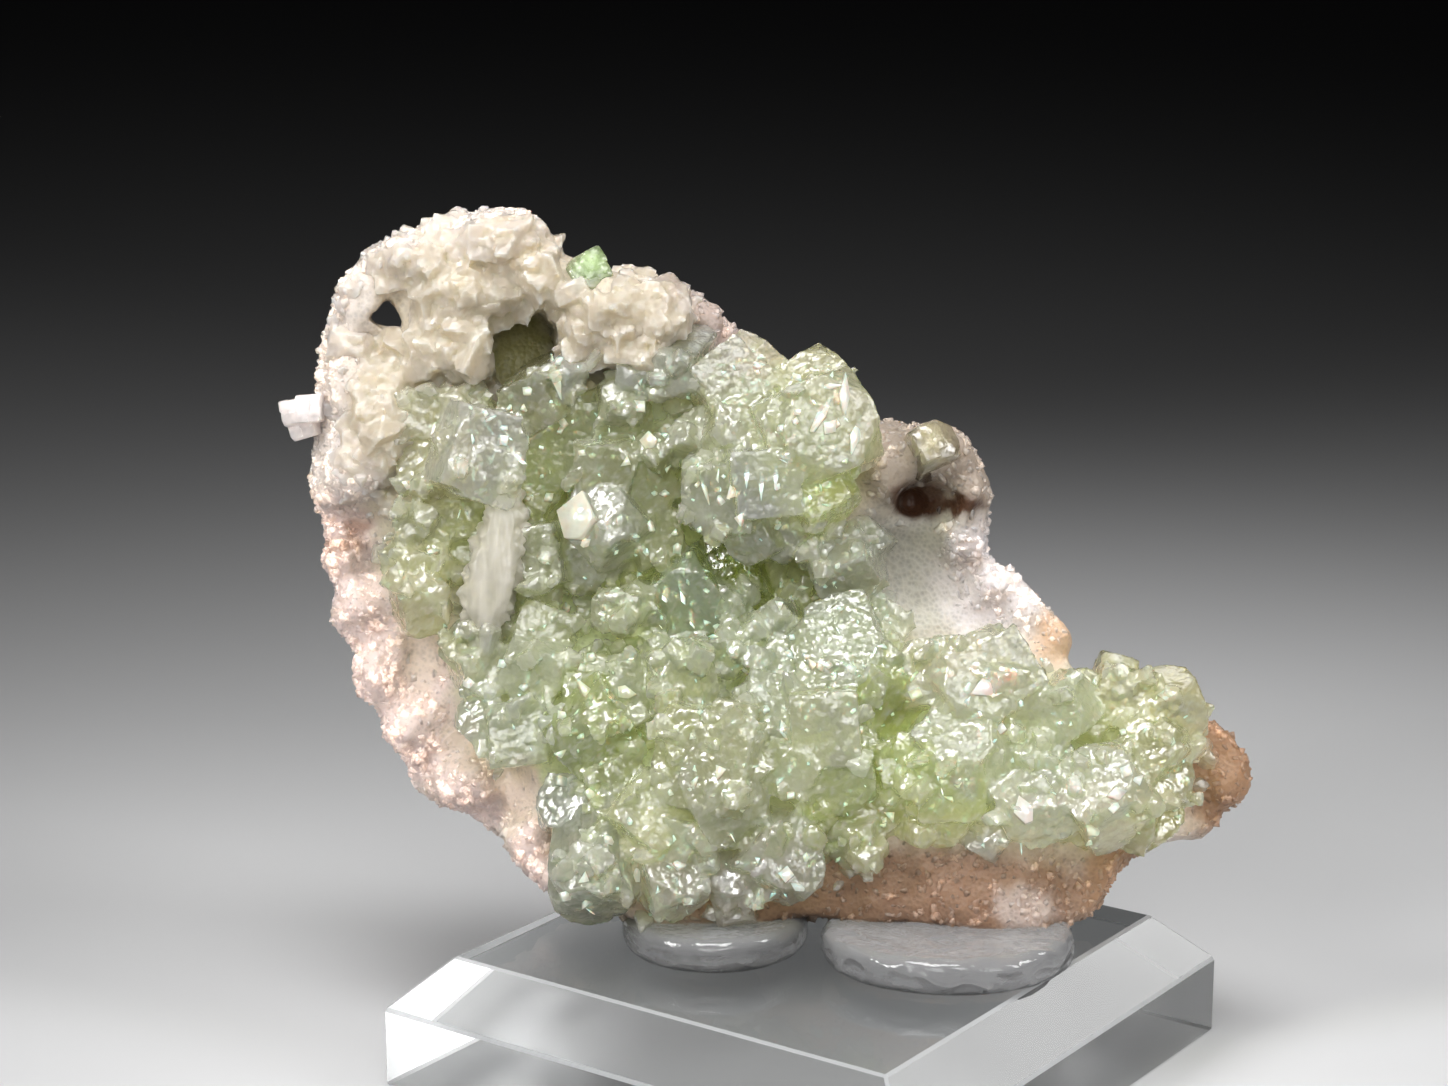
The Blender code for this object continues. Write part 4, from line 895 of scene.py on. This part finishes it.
def ground_level(across, up):
    """How far the rock's front stands out at a place."""
    spots = numpy.array(ROCK_FRONT, dtype=float)
    far = (spots[:, 0] - across) ** 2 + (spots[:, 1] - up) ** 2 + 2.0
    share = far ** -2.4
    return float((share * spots[:, 2]).sum() / share.sum())


def inside(place, outline):
    """Whether a flat place lies inside the outline."""
    across, up = place
    within = False
    for (a0, u0), (a1, u1) in zip(outline, outline[1:] + outline[:1]):
        if (u0 > up) != (u1 > up) and across < a0 + (up - u0) * (a1 - a0) / (u1 - u0):
            within = not within
    return within


def habit(number):
    """How the crystal of that number stands: lean to the right, lean upward, turn and cut of its corners."""
    right, upward = (CRYSTAL_LEAN * math.sin(2.0 * math.pi * step * number) for step in LEAN_STEPS)
    turn = 90.0 * (TURN_STEP * number % 1.0)
    least, most = CRYSTAL_CORNER
    return right, upward, turn, least + (most - least) * (CORNER_STEP * number % 1.0)


def stand(across, up, out, right, upward, turn):
    """The matrix that stands a crystal at a place of the face with its lean and turn in degrees."""
    along = 1.0 - out / SEEN_FROM
    lean = Matrix.Rotation(math.radians(right), 4, "Y") @ Matrix.Rotation(math.radians(-upward), 4, "X")
    spot = Matrix.Translation((across * along, up * along, out))
    return FACE @ spot @ lean @ Matrix.Rotation(math.radians(turn), 4, "Z")


def large_crystals():
    """Every large crystal as (across, up, width, length, corner cut, matrix of its end face)."""
    grown = []
    for across, up, out, wide, long, right, upward, turn, corner in SET_CRYSTALS:
        grown.append((across, up, wide, long, corner, stand(across, up, out, right, upward, turn)))
    draw = random.Random(7)
    taken = [(row[0], row[1], row[3]) for row in CRYSTALS + SET_CRYSTALS]
    rows = list(CRYSTALS)
    for row in range(FILL_ROWS):
        for column in range(FILL_ROWS):
            aside = column + 0.5 * (row % 2) + draw.uniform(-FILL_STRAY, FILL_STRAY)
            across = FILL_FROM[0] + FILL_STEP * aside
            up = FILL_FROM[1] + FILL_STEP * (row + draw.uniform(-FILL_STRAY, FILL_STRAY))
            wide = draw.uniform(*FILL_WIDTH)
            crowded = any(math.hypot(across - a, up - u) < FILL_CROWDED * (w + wide) for a, u, w in taken)
            if crowded or not inside((across, up), DRUSE_OUTLINE):
                continue
            taken.append((across, up, wide))
            rows.append((across, up, ground_level(across, up) + FILL_STANDS * wide, wide))
    for number, (across, up, out, wide) in enumerate(rows):
        long = max(out - ground_level(across, up), CRYSTAL_LEAST * wide) + ROOT
        right, upward, turn, corner = habit(number)
        grown.append((across, up, wide, long, corner, stand(across, up, out, right, upward, turn)))
    return grown


# The crystals' colours and the places where each prevails, and how much deeper the large crystals are
TINT_DEPTH = 1.45
CLEAR_TINT = (0.84, 0.87, 0.81)
GEM_TINTS = (
    (((-12.0, 0.0, 16.0, 14.0),), (0.86, 0.87, 0.70)),
    (((-20.0, 10.0, 14.0, 8.0), (-28.0, -4.0, 6.0, 10.0)), (0.84, 0.84, 0.64)),
    (((5.0, 14.0, 9.0, 6.0), (10.0, 12.0, 6.0, 6.0)), (0.94, 0.93, 0.82)),
    (((6.0, 5.0, 6.0, 5.0), (-23.3, 9.3, 4.0, 4.0)), (0.95, 0.95, 0.92)),
    (((10.0, 6.6, 3.0, 3.6),), (0.82, 0.87, 0.52)),
    (((-1.0, -2.2, 5.0, 2.4),), (0.42, 0.48, 0.16)),
    (((-4.0, -7.0, 5.0, 3.6),), (0.64, 0.72, 0.50)),
    (((9.0, -4.0, 5.0, 3.4),), (0.84, 0.84, 0.70)),
    (((-12.0, -20.0, 4.0, 8.0), (12.0, -27.0, 8.0, 4.0)), (0.78, 0.84, 0.50)),
    (((-2.0, -22.0, 8.0, 7.0), (10.0, -18.0, 4.0, 4.0)), (0.88, 0.88, 0.70)),
    (((12.0, -10.5, 6.0, 4.0),), (0.88, 0.91, 0.78)),
    (((17.0, -17.0, 4.0, 6.0), (21.0, -25.0, 5.0, 3.6)), (0.82, 0.88, 0.50)),
    (((26.0, -15.0, 6.0, 7.0), (31.0, -27.0, 5.0, 4.4), (37.0, -23.5, 4.6, 4.4)), (0.95, 0.95, 0.91)),
    (((42.0, -17.0, 8.0, 5.0), (45.0, -21.0, 5.0, 6.0)), (0.92, 0.90, 0.72)),
    (((40.0, -29.0, 8.0, 4.0),), (0.84, 0.86, 0.60)),
    (((-12.0, -34.0, 9.0, 5.0),), (0.84, 0.85, 0.74)),
)


def gem_tints(places):
    """The crystals' own colour at each place of the face."""
    colours = numpy.tile(numpy.array(CLEAR_TINT), (len(places), 1))
    for spots, colour in GEM_TINTS:
        share = zone(places, spots)[:, None]
        colours = colours * (1.0 - share) + numpy.array(colour) * share
    return colours


def crystal_drawn_out(block, wide, long):
    """A unit block's arrays drawn out to a crystal of the width and length, its end face at the origin."""
    points, loops, counts, edges = block
    points = points.copy()
    points[:, 2] -= 0.5
    points *= wide
    points[:, 2] = numpy.where(points[:, 2] < -0.5 * wide, points[:, 2] + wide - long, points[:, 2])
    return points, loops, counts, edges


MAIN_BLOCKS = tuple((corner, cut_block("apophyllite_block", corner, 0.016))
                    for corner in (0.1, 0.2, 0.3, 0.4, 0.46))
STEP_BLOCKS = tuple(cut_block("growth_step", corner, 0.022) for corner in (0.0, 0.14, 0.3))
SHARDS = tuple(cut_shard("crystal_shard", number, 0.018) for number in range(20, 30))
SPLINTERS = tuple(cut_shard("splinter", number) for number in range(20, 26))
CHIPS = tuple(cut_chip("flat_chip", number) for number in range(9))
SMALL_BLOCKS = (cut_block("small_crystal", 0.2, 0.022), cut_block("small_crystal", 0.36, 0.022)) + SHARDS

# What a clear and a milky crystal keep of their tint, and the sizes of what grows on a crystal, in its widths
CLEAR_SHADE = 0.80
MILKY_SHADE = 0.88
STEP_SIZES = (0.35, 0.8)
STEP_PROUD = (0.008, 0.035)
STEP_SKEW = 4.0
SHARD_SIZES = (0.14, 0.34)

# The finish of each crystal of SET_CRYSTALS: clear or milky, its tint, and how many steps grow on it
SET_FINISH = (
    (1, (0.93, 0.94, 0.88), 1), (0, (0.70, 0.74, 0.50), 1), (0, (0.68, 0.73, 0.47), 1), (1, (0.88, 0.89, 0.80), 3),
    (1, (0.86, 0.86, 0.74), 6), (0, (0.78, 0.77, 0.58), 5), (1, (0.84, 0.84, 0.76), 4), (1, (0.93, 0.94, 0.92), 5),
    (1, (0.88, 0.89, 0.80), 6), (0, (0.58, 0.68, 0.48), 1), (0, (0.66, 0.71, 0.54), 4), (0, (0.90, 0.91, 0.74), 3),
    (1, (0.97, 0.97, 0.94), 7), (0, (0.78, 0.85, 0.48), 3), (1, (0.97, 0.97, 0.96), 4), (1, (0.80, 0.83, 0.72), 4),
    (1, (0.78, 0.82, 0.66), 2),
)


def block_cut(corner):
    """The modelled block whose corners are cut nearest to the share asked for."""
    return min(MAIN_BLOCKS, key=lambda entry: abs(entry[0] - corner))[1]


grown = large_crystals()
spots = numpy.array([(row[0], row[1], 0.0) for row in grown])
tints = gem_tints(spots) ** TINT_DEPTH
copies = []
for number, (across, up, wide, long, corner, matrix) in enumerate(grown):
    if number < len(SET_FINISH):
        clear, tint, steps = SET_FINISH[number]
        tint = numpy.array(tint)
    else:
        clear = draw.random() < 0.45
        tint, steps = tints[number] * draw.uniform(0.92, 1.06), int(1 + 0.6 * wide)
    tint = tint * (CLEAR_SHADE if clear else MILKY_SHADE)
    copies.append((crystal_drawn_out(block_cut(corner), wide, long), matrix, tint))
    for _ in range(steps):
        size = wide * draw.uniform(*STEP_SIZES)
        side = draw.randrange(6)
        proud = draw.uniform(*STEP_PROUD) * wide
        if side < 2:
            spot = Vector((draw.uniform(-0.3, 0.3) * wide, draw.uniform(-0.3, 0.3) * wide, proud - size / 2.0))
        else:
            aside = wide / 2.0 + proud - size / 2.0
            spot = Vector((aside, draw.uniform(-0.35, 0.35) * wide, -draw.uniform(0.3, 0.9) * wide))
            spot = Matrix.Rotation(math.radians(90.0 * side), 3, "Z") @ spot
        skewed = math.radians(draw.uniform(-STEP_SKEW, STEP_SKEW))
        skew = Matrix.Rotation(skewed, 4, (draw.gauss(0, 1), draw.gauss(0, 1), 1.0))
        shape = Matrix.Diagonal((size, size * draw.uniform(0.6, 1.2), size, 1.0))
        step = draw.choice(STEP_BLOCKS)
        copies.append((step, matrix @ Matrix.Translation(spot) @ skew @ shape, tint * draw.uniform(0.96, 1.06)))
    for _ in range(steps // 2):
        size = wide * draw.uniform(*SHARD_SIZES)
        aside, above = draw.uniform(-0.5, 0.5) * wide, draw.uniform(-0.5, 0.5) * wide
        spot = Vector((aside, above, -draw.uniform(0.1, 0.3) * size))
        if draw.random() < 0.6:
            spot = Vector((draw.choice((-0.5, 0.5)) * wide, spot.y, -draw.uniform(0.05, 0.8) * wide))
            spot = Matrix.Rotation(math.radians(90.0 * draw.randrange(4)), 3, "Z") @ spot
        shape = Matrix.Diagonal((size, size * draw.uniform(0.5, 1.1), size * draw.uniform(0.8, 1.8), 1.0))
        copies.append((draw.choice(SHARDS), matrix @ Matrix.Translation(spot) @ any_turn() @ shape, tint * 1.04))

solids = [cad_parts[name].data for name in ("apophyllite_druse", "matrix")]
trees = [BVHTree.FromPolygons([v.co for v in solid.vertices], [p.vertices for p in solid.polygons])
         for solid in solids]
towards = (FACE.to_3x3() @ Vector((0.0, 0.0, -1.0))).normalized()


def met(across, up):
    """Where a look along the face's own direction meets the stone at a place, with the surface's normal."""
    start = FACE @ Vector((across, up, 40.0))
    hits = [tree.ray_cast(start, towards) for tree in trees]
    hits = [hit for hit in hits if hit[0] is not None]
    return min(hits, key=lambda hit: hit[3]) if hits else None


# Small crystals: how many, where, their sizes in millimetres, and the faces of large crystals that are kept clean
SMALL_COUNT = 560
SMALL_ACROSS, SMALL_UP = (-35.5, 48.5), (-38.0, 19.0)
SMALL_SIZES = (0.9, 3.2, 1.5)
CLEAR_SMALL, MILKY_SMALL = 1.02, 0.95
LARGE_FROM = 4.8
clean_spots = [(row[0], row[1], 0.54 * row[3]) for row in SET_CRYSTALS]
clean_spots += [(row[0], row[1], 0.4 * row[3]) for row in CRYSTALS if row[3] > LARGE_FROM]
small_copies = []
while len(small_copies) < SMALL_COUNT:
    across, up = draw.uniform(*SMALL_ACROSS), draw.uniform(*SMALL_UP)
    if not inside((across, up), DRUSE_OUTLINE):
        continue
    if any(math.hypot(across - a, up - u) < reach for a, u, reach in clean_spots):
        continue
    hit = met(across, up)
    if hit is None:
        continue
    size = draw.triangular(*SMALL_SIZES) * MM
    normal = hit[1].normalized()
    lean = Vector((draw.gauss(0, 0.45), draw.gauss(0, 0.45), draw.gauss(0, 0.45)))
    way = (normal - towards * 0.5 + lean).normalized()
    turn = way.to_track_quat("Z", "Y").to_matrix().to_4x4() @ Matrix.Rotation(draw.uniform(0.0, 1.6), 4, "Z")
    shape = Matrix.Diagonal((size * draw.uniform(0.7, 1.0), size * draw.uniform(0.7, 1.0),
                             size * draw.uniform(0.9, 1.6), 1.0))
    place = hit[0] + normal * size * draw.uniform(-0.35, 0.12)
    tint = gem_tints(numpy.array([(across, up, 0.0)]))[0] * draw.uniform(0.92, 1.1)
    tint = tint * (CLEAR_SMALL if draw.random() < 0.5 else MILKY_SMALL)
    small_copies.append((draw.choice(SMALL_BLOCKS), Matrix.Translation(place) @ turn @ shape, tint))


def etched_skin(tree, least, most):
    """A crystal's own tint, and an uneven, etched skin that is duller here and there."""
    nodes = tree.nodes
    own = nodes.new("ShaderNodeAttribute")
    own.attribute_name = "tint"
    place = nodes.new("ShaderNodeTexCoord")
    etched = new_node(nodes, "ShaderNodeTexNoise", {"Scale": 1100.0, "Detail": 1.5, "Roughness": 0.6})
    gloss = new_node(nodes, "ShaderNodeMapRange", {
        "From Min": 0.35, "From Max": 0.70, "To Min": least, "To Max": most,
    })
    relief = new_node(nodes, "ShaderNodeBump", {"Strength": 0.8, "Distance": 0.35 * MM})
    wire(tree, (place, "Object", etched, "Vector"), (etched, "Fac", gloss, "Value"),
         (etched, "Fac", relief, "Height"))
    feed(tree, own.outputs["Color"], "Base Color")
    feed(tree, gloss.outputs["Result"], "Roughness")
    feed(tree, relief.outputs["Normal"], "Normal")


def tinted_depth(tree, colour, strength):
    """Light that passes the stone takes on its green, the more the deeper it goes."""
    depth = new_node(tree.nodes, "ShaderNodeVolumeAbsorption", {"Color": (*colour, 1.0), "Density": strength})
    tree.links.new(depth.outputs["Volume"], tree.nodes["Material Output"].inputs["Volume"])


gem, tree = new_material("green_apophyllite", {
    "IOR": 1.535, "Transmission Weight": 0.76, "Subsurface Weight": 1.0, "Subsurface Radius": (1.0, 1.1, 0.8),
    "Subsurface Scale": 1.6 * MM, "Coat Weight": 0.8, "Coat Roughness": 0.04, "Coat IOR": 1.7,
})
etched_skin(tree, 0.02, 0.12)
let_light_through(tree, (0.95, 0.97, 0.90), 0.75)
tinted_depth(tree, (0.82, 0.81, 0.50), 165.0)

SKIN_GRAIN = 0.28 * MM
GEM_ETCHING = 0.10
GEM_FROST = 0.75
# The druse's skin is made in four neighbouring parts, which part at these places across the face
PARTINGS = (-99.0, -13.0, -1.0, 12.0, 99.0)


def in_part(copies, least, most):
    """The copies that stand between two places across the face."""
    across = face_places(numpy.array([copy[1].translation for copy in copies]))[:, 0]
    return [copy for copy, place in zip(copies, across) if least <= place < most]


all_crystals = copies + small_copies
for number, (least, most) in enumerate(zip(PARTINGS, PARTINGS[1:])):
    druse = grown_together("druse_part_%d" % (number + 1), in_part(all_crystals, least, most),
                           gem, SKIN_GRAIN, GEM_ETCHING, GEM_FROST)
    if number == 1:
        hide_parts("apophyllite_druse")
    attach(druse, "root")
    crystals.objects.link(druse)


# Bright faces: small flat crystals and ledges that happen to throw a lamp's light at the camera. The mineral
# splits flat across, and such a face has the lustre of mother-of-pearl, so it shines more than the rest.
# Their tint is also made paler than the crystals' own, a painted highlight.
pearly, tree = new_material("pearly_faces", {
    "IOR": 1.535, "Roughness": 0.12, "Transmission Weight": 0.45, "Subsurface Weight": 1.0,
    "Subsurface Scale": 1.2 * MM, "Coat Weight": 1.0, "Coat IOR": 1.75, "Coat Roughness": 0.07,
})
speckled(tree, "tint", 0.06, 1800.0, 0.06)
let_light_through(tree, (0.95, 0.97, 0.92), 0.7)

# Each face seen in the photograph: across, up, length, width and its slant in degrees
BRIGHT_FACES = (
    (-14.2, 1.8, 4.6, 3.4, 0), (9.1, 11.8, 4.4, 0.8, -25), (11.6, 14.3, 3.4, 0.8, -20),
    (12.6, 10.3, 3.0, 0.7, -30), (10.2, 15.1, 0.7, 3.2, 10), (1.0, 4.9, 1.4, 1.2, 0), (-0.4, 4.3, 1.0, 0.9, 30),
    (-15.9, -23.2, 1.6, 1.5, 20), (-12.7, -24.2, 1.5, 1.3, -20), (-13.4, -14.3, 2.4, 1.3, 30),
    (-9.7, -14.7, 1.2, 2.6, 0), (-7.2, 9.8, 1.7, 1.5, 15), (-16.4, 16.3, 3.6, 0.7, 25),
    (28.6, -25.7, 2.6, 1.6, 20), (37.1, -23.7, 1.5, 2.6, 0), (25.1, -13.7, 1.4, 2.8, 10),
    (26.6, -17.7, 1.4, 1.2, 0), (-8.4, -31.7, 3.2, 0.9, 10), (-24.4, 10.3, 1.8, 0.35, 30),
    (-22.6, 8.4, 1.7, 0.35, -20), (-25.4, 7.6, 1.4, 0.35, 60), (-23.0, 12.0, 1.4, 0.3, -60),
    (-1.9, 5.4, 2.6, 0.35, 0), (-0.6, 6.6, 2.2, 0.35, 3), (0.8, 5.8, 2.8, 0.4, -2), (2.2, 6.6, 2.4, 0.35, 0),
    (3.6, 5.6, 2.6, 0.35, 4), (5.0, 6.4, 2.2, 0.35, 0),
)
# The smaller faces: how many, where, and their sizes in millimetres
CHIP_COUNT = 560
CHIP_ACROSS, CHIP_UP = (-35.0, 48.0), (-37.5, 18.5)
CHIP_SIZES = (0.35, 1.6, 0.5)
# The directions in which a face throws one of three lamps at the camera, and how far faces stray from them
GLANCE = ((-0.06, -0.72, 0.69), (-0.415, -0.795, 0.445), (0.452, -0.731, 0.513))
SEEN_STRAY, CHIP_STRAY = 0.02, 0.2
copies = []
rows = [(*row, SEEN_STRAY) for row in BRIGHT_FACES]
for _ in range(CHIP_COUNT):
    across, up = draw.uniform(*CHIP_ACROSS), draw.uniform(*CHIP_UP)
    if inside((across, up), DRUSE_OUTLINE):
        size = draw.triangular(*CHIP_SIZES)
        rows.append((across, up, size, size * draw.uniform(0.3, 1.0), draw.uniform(-90.0, 90.0), CHIP_STRAY))
for across, up, long, wide, slant, stray in rows:
    hit = met(across, up)
    if hit is None:
        continue
    way = Vector(draw.choice(GLANCE)) + Vector([draw.gauss(0.0, stray) for _ in range(3)])
    turn = way.to_track_quat("Z", "Y").to_matrix().to_4x4() @ Matrix.Rotation(math.radians(slant), 4, "Z")
    shape = Matrix.Diagonal((wide * MM, long * MM, 0.5 * min(wide, long) * MM, 1.0))
    place = hit[0] - towards * (0.14 * min(wide, long) + 0.10) * MM
    # The faces' tint is lifted towards white: a painted highlight on top of the lamps' real reflection
    tint = gem_tints(numpy.array([(across, up, 0.0)]))[0] * 0.7 + 0.24
    copies.append((draw.choice(CHIPS), Matrix.Translation(place) @ turn @ shape, tint))
faces = copies_joined("bright_faces", copies, pearly)
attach(faces, "root")
crystals.objects.link(faces)


# Veils inside the crystals: healed cracks and cloudy sheets that show white through the clear stone. They lie
# more or less along the crystal that holds them, and formed while it grew.
VEIL_WHITE = (0.93, 0.93, 0.88)
# Veils for each millimetre of a crystal's width, in the set crystals and in the rest, and their sizes in widths
VEILS_SET, VEILS_REST = 2.2, 0.9
VEIL_SIZES = (0.14, 0.4)
veil_paint, tree = new_material("white_veils", {
    "Base Color": (*VEIL_WHITE, 1.0), "Roughness": 0.4, "Subsurface Weight": 1.0,
    "Subsurface Scale": 1.0 * MM,
})
let_light_through(tree, (0.95, 0.95, 0.9), 0.5)
copies = []
for number, (across, up, wide, long, corner, matrix) in enumerate(grown):
    many = int((VEILS_SET if number < len(SET_CRYSTALS) else VEILS_REST) * wide)
    lean = Matrix.Rotation(draw.uniform(-0.7, 0.7), 4, (draw.gauss(0, 1), draw.gauss(0, 1), 0.3))
    for _ in range(many):
        size = wide * draw.uniform(*VEIL_SIZES)
        spot = Vector((draw.uniform(-0.36, 0.36), draw.uniform(-0.36, 0.36), -draw.uniform(0.08, 0.5))) * wide
        shape = Matrix.Diagonal((0.03 * size, size * draw.uniform(0.1, 0.4), size * draw.uniform(0.8, 1.8), 1.0))
        skew = Matrix.Rotation(draw.gauss(0, 0.25), 4, (draw.gauss(0, 1), draw.gauss(0, 1), draw.gauss(0, 1)))
        placed = matrix @ Matrix.Translation(spot) @ lean @ skew @ shape
        copies.append((draw.choice(SPLINTERS), placed, VEIL_WHITE))
veils = copies_joined("inner_veils", copies, veil_paint)
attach(veils, "root")
crystals.objects.link(veils)


# Two crystals of the same green mineral stand by themselves: one on the crest behind the cream lump, and one on
# the lobe at the right. Each grew straight on the crust, with low growth steps on its end.
CREST_CRYSTALS = ((-13.4, 27.4, 7.0, 3.8, 7.0, 6, 20, 30, 0.3),)
LOBE_CRYSTALS = ((21.3, 10.4, 6.4, 4.2, 5.0, 12, 26, 20, 0.34),)


def stepped_crystals(rows, tint, step_tint, steps, sizes, raised):
    """Crystals with small growth steps on their end faces: copies for copies_joined."""
    copies = []
    for across, up, out, wide, long, right, upward, turn, corner in rows:
        matrix = stand(across, up, out, right, upward, turn)
        copies.append((crystal_drawn_out(block_cut(corner), wide, long), matrix, tint))
        for _ in range(steps):
            size = wide * draw.uniform(*sizes)
            aside, above = draw.uniform(-0.35, 0.35) * wide, draw.uniform(-0.35, 0.35) * wide
            spot = Vector((aside, above, raised * wide - size / 2.0))
            shape = Matrix.Diagonal((size, size, size, 1.0))
            copies.append((STEP_BLOCKS[1], matrix @ Matrix.Translation(spot) @ shape, step_tint))
    return copies


for name, rows, tint in (("apophyllite_crest", CREST_CRYSTALS, (0.36, 0.44, 0.26)),
                         ("apophyllite_lobe", LOBE_CRYSTALS, (0.42, 0.37, 0.28))):
    copies = stepped_crystals(rows, tint, numpy.array(tint) * 1.08, 6, (0.3, 0.5), 0.05)
    stone = copies_joined(name.replace("apophyllite", "small"), copies, gem)
    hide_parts(name)
    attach(stone, "root")
    crystals.objects.link(stone)


# The lilac tablets: three thin white plates of a zeolite that stick out of the crust at the far left. They are
# grown together at their feet, and their ends are stepped.
TABLET_CRYSTALS = (
    (-43.2, 13.2, 1.2, 2.4, 4.2, -14, 6, 10, 0.16), (-41.6, 13.6, 1.6, 2.6, 4.6, -6, 4, 4, 0.14),
    (-42.4, 11.8, 0.6, 2.8, 4.0, -18, -10, 14, 0.2),
)
TABLET_TINT = (0.66, 0.60, 0.58)
TABLET_STEP_TINT = (0.72, 0.66, 0.64)
tablet_paint, tree = new_material("lilac_plates", {
    "IOR": 1.5, "Roughness": 0.3, "Subsurface Weight": 1.0, "Subsurface Radius": (1.0, 0.9, 0.8),
    "Subsurface Scale": 1.4 * MM, "Coat Weight": 0.5, "Coat Roughness": 0.08,
})
speckled(tree, "tint", 0.12, 1500.0, 0.1)
copies = stepped_crystals(TABLET_CRYSTALS, TABLET_TINT, TABLET_STEP_TINT, 5, (0.35, 0.6), 0.06)
tablets = copies_joined("lilac_plate_group", copies, tablet_paint)
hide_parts("lilac_tablets")
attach(tablets, "root")


# The stilbite blade: a bundle of thin pearly leaves that stand side by side and end in a rounded sheaf. It grew
# before the green crystals, which close round its foot.
BLADE_OUTLINE = (
    (-22.6, 5.4), (-20.9, 5.2), (-19.9, 3.0), (-20.1, -0.6), (-20.6, -3.8), (-21.8, -7.0), (-23.2, -9.1),
    (-24.6, -8.9), (-25.8, -7.0), (-26.1, -4.6), (-25.2, -1.8), (-24.3, 1.0), (-23.4, 3.4),
)
BLADE_BACK = 1.4
BLADE_FRONT = 6.4
BLADE_SPREAD = 1.16
BLADE_SCALE = 0.985
BLADE_GRAIN = 0.16 * MM
LEAF_DARK = (0.50, 0.47, 0.36)
LEAF_PALE = (0.66, 0.62, 0.52)

select_none()
bpy.ops.mesh.primitive_circle_add(vertices=len(BLADE_OUTLINE), radius=1.0, fill_type="NGON")
sheaf = bpy.context.object
sheaf.name = "pearly_sheaf"
middle = numpy.array(BLADE_OUTLINE).mean(axis=0)
for corner, (across, up) in zip(sheaf.data.vertices, BLADE_OUTLINE):
    corner.co = (*(middle + BLADE_SPREAD * (numpy.array((across, up)) - middle)), BLADE_BACK)
edit_all()
for share in (0.7, 0.3):
    rise = share * (BLADE_FRONT - BLADE_BACK)
    bpy.ops.mesh.extrude_region_move(TRANSFORM_OT_translate={"value": (0.0, 0.0, rise)})
bpy.ops.transform.resize(value=(0.72, 0.86, 1.0), center_override=(middle[0], middle[1], BLADE_FRONT))
bpy.ops.mesh.select_all(action="SELECT")
bpy.ops.mesh.normals_make_consistent(inside=False)
bpy.ops.object.mode_set(mode="OBJECT")
sheaf.data.transform(FACE @ Matrix.Diagonal((BLADE_SCALE, BLADE_SCALE, 1.0, 1.0)))
rounding = sheaf.modifiers.new("Rounded", "SUBSURF")
rounding.levels = 1
rounding.render_levels = 1
bpy.ops.object.modifier_apply(modifier=rounding.name)
fine_skin(sheaf, BLADE_GRAIN)
points, outward = skin_arrays(sheaf.data)
flat = face_places(points)
# The leaves run up and down, and the sheaf's sides are ragged
leaves = numpy.array([noise.noise((a * 0.9, u * 0.14, o * 0.5)) + 0.5 * noise.noise((a * 2.4, u * 0.4, o))
                      for a, u, o in flat])
ragged = numpy.array([noise.noise((a * 0.5, u * 0.9, o)) + 0.6 * noise.noise((a, u * 2.2, o))
                      for a, u, o in flat])
aside = numpy.clip(1.0 - numpy.abs(outward @ forward), 0.0, 1.0)
points += outward * (0.16 * leaves + 0.8 * ragged * aside)[:, None] * MM
sheaf.data.vertices.foreach_set("co", points.ravel())
bpy.ops.object.shade_smooth_by_angle(angle=math.radians(60.0))
shade = numpy.clip(0.5 + 0.8 * leaves, 0.0, 1.0)[:, None]
add_colours(sheaf.data, "tint", numpy.array(LEAF_DARK) * (1.0 - shade) + numpy.array(LEAF_PALE) * shade)
pearl, tree = new_material("pearly_leaves", {
    "Roughness": 0.3, "IOR": 1.5, "Transmission Weight": 0.25, "Subsurface Weight": 1.0,
    "Subsurface Radius": (1.0, 0.95, 0.7), "Subsurface Scale": 1.8 * MM, "Coat Weight": 0.3,
    "Coat Roughness": 0.15,
})
speckled(tree, "tint", 0.08, 1200.0, 0.08)
sheaf.data.materials.clear()
sheaf.data.materials.append(pearl)
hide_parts("stilbite_blade")
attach(sheaf, "root")
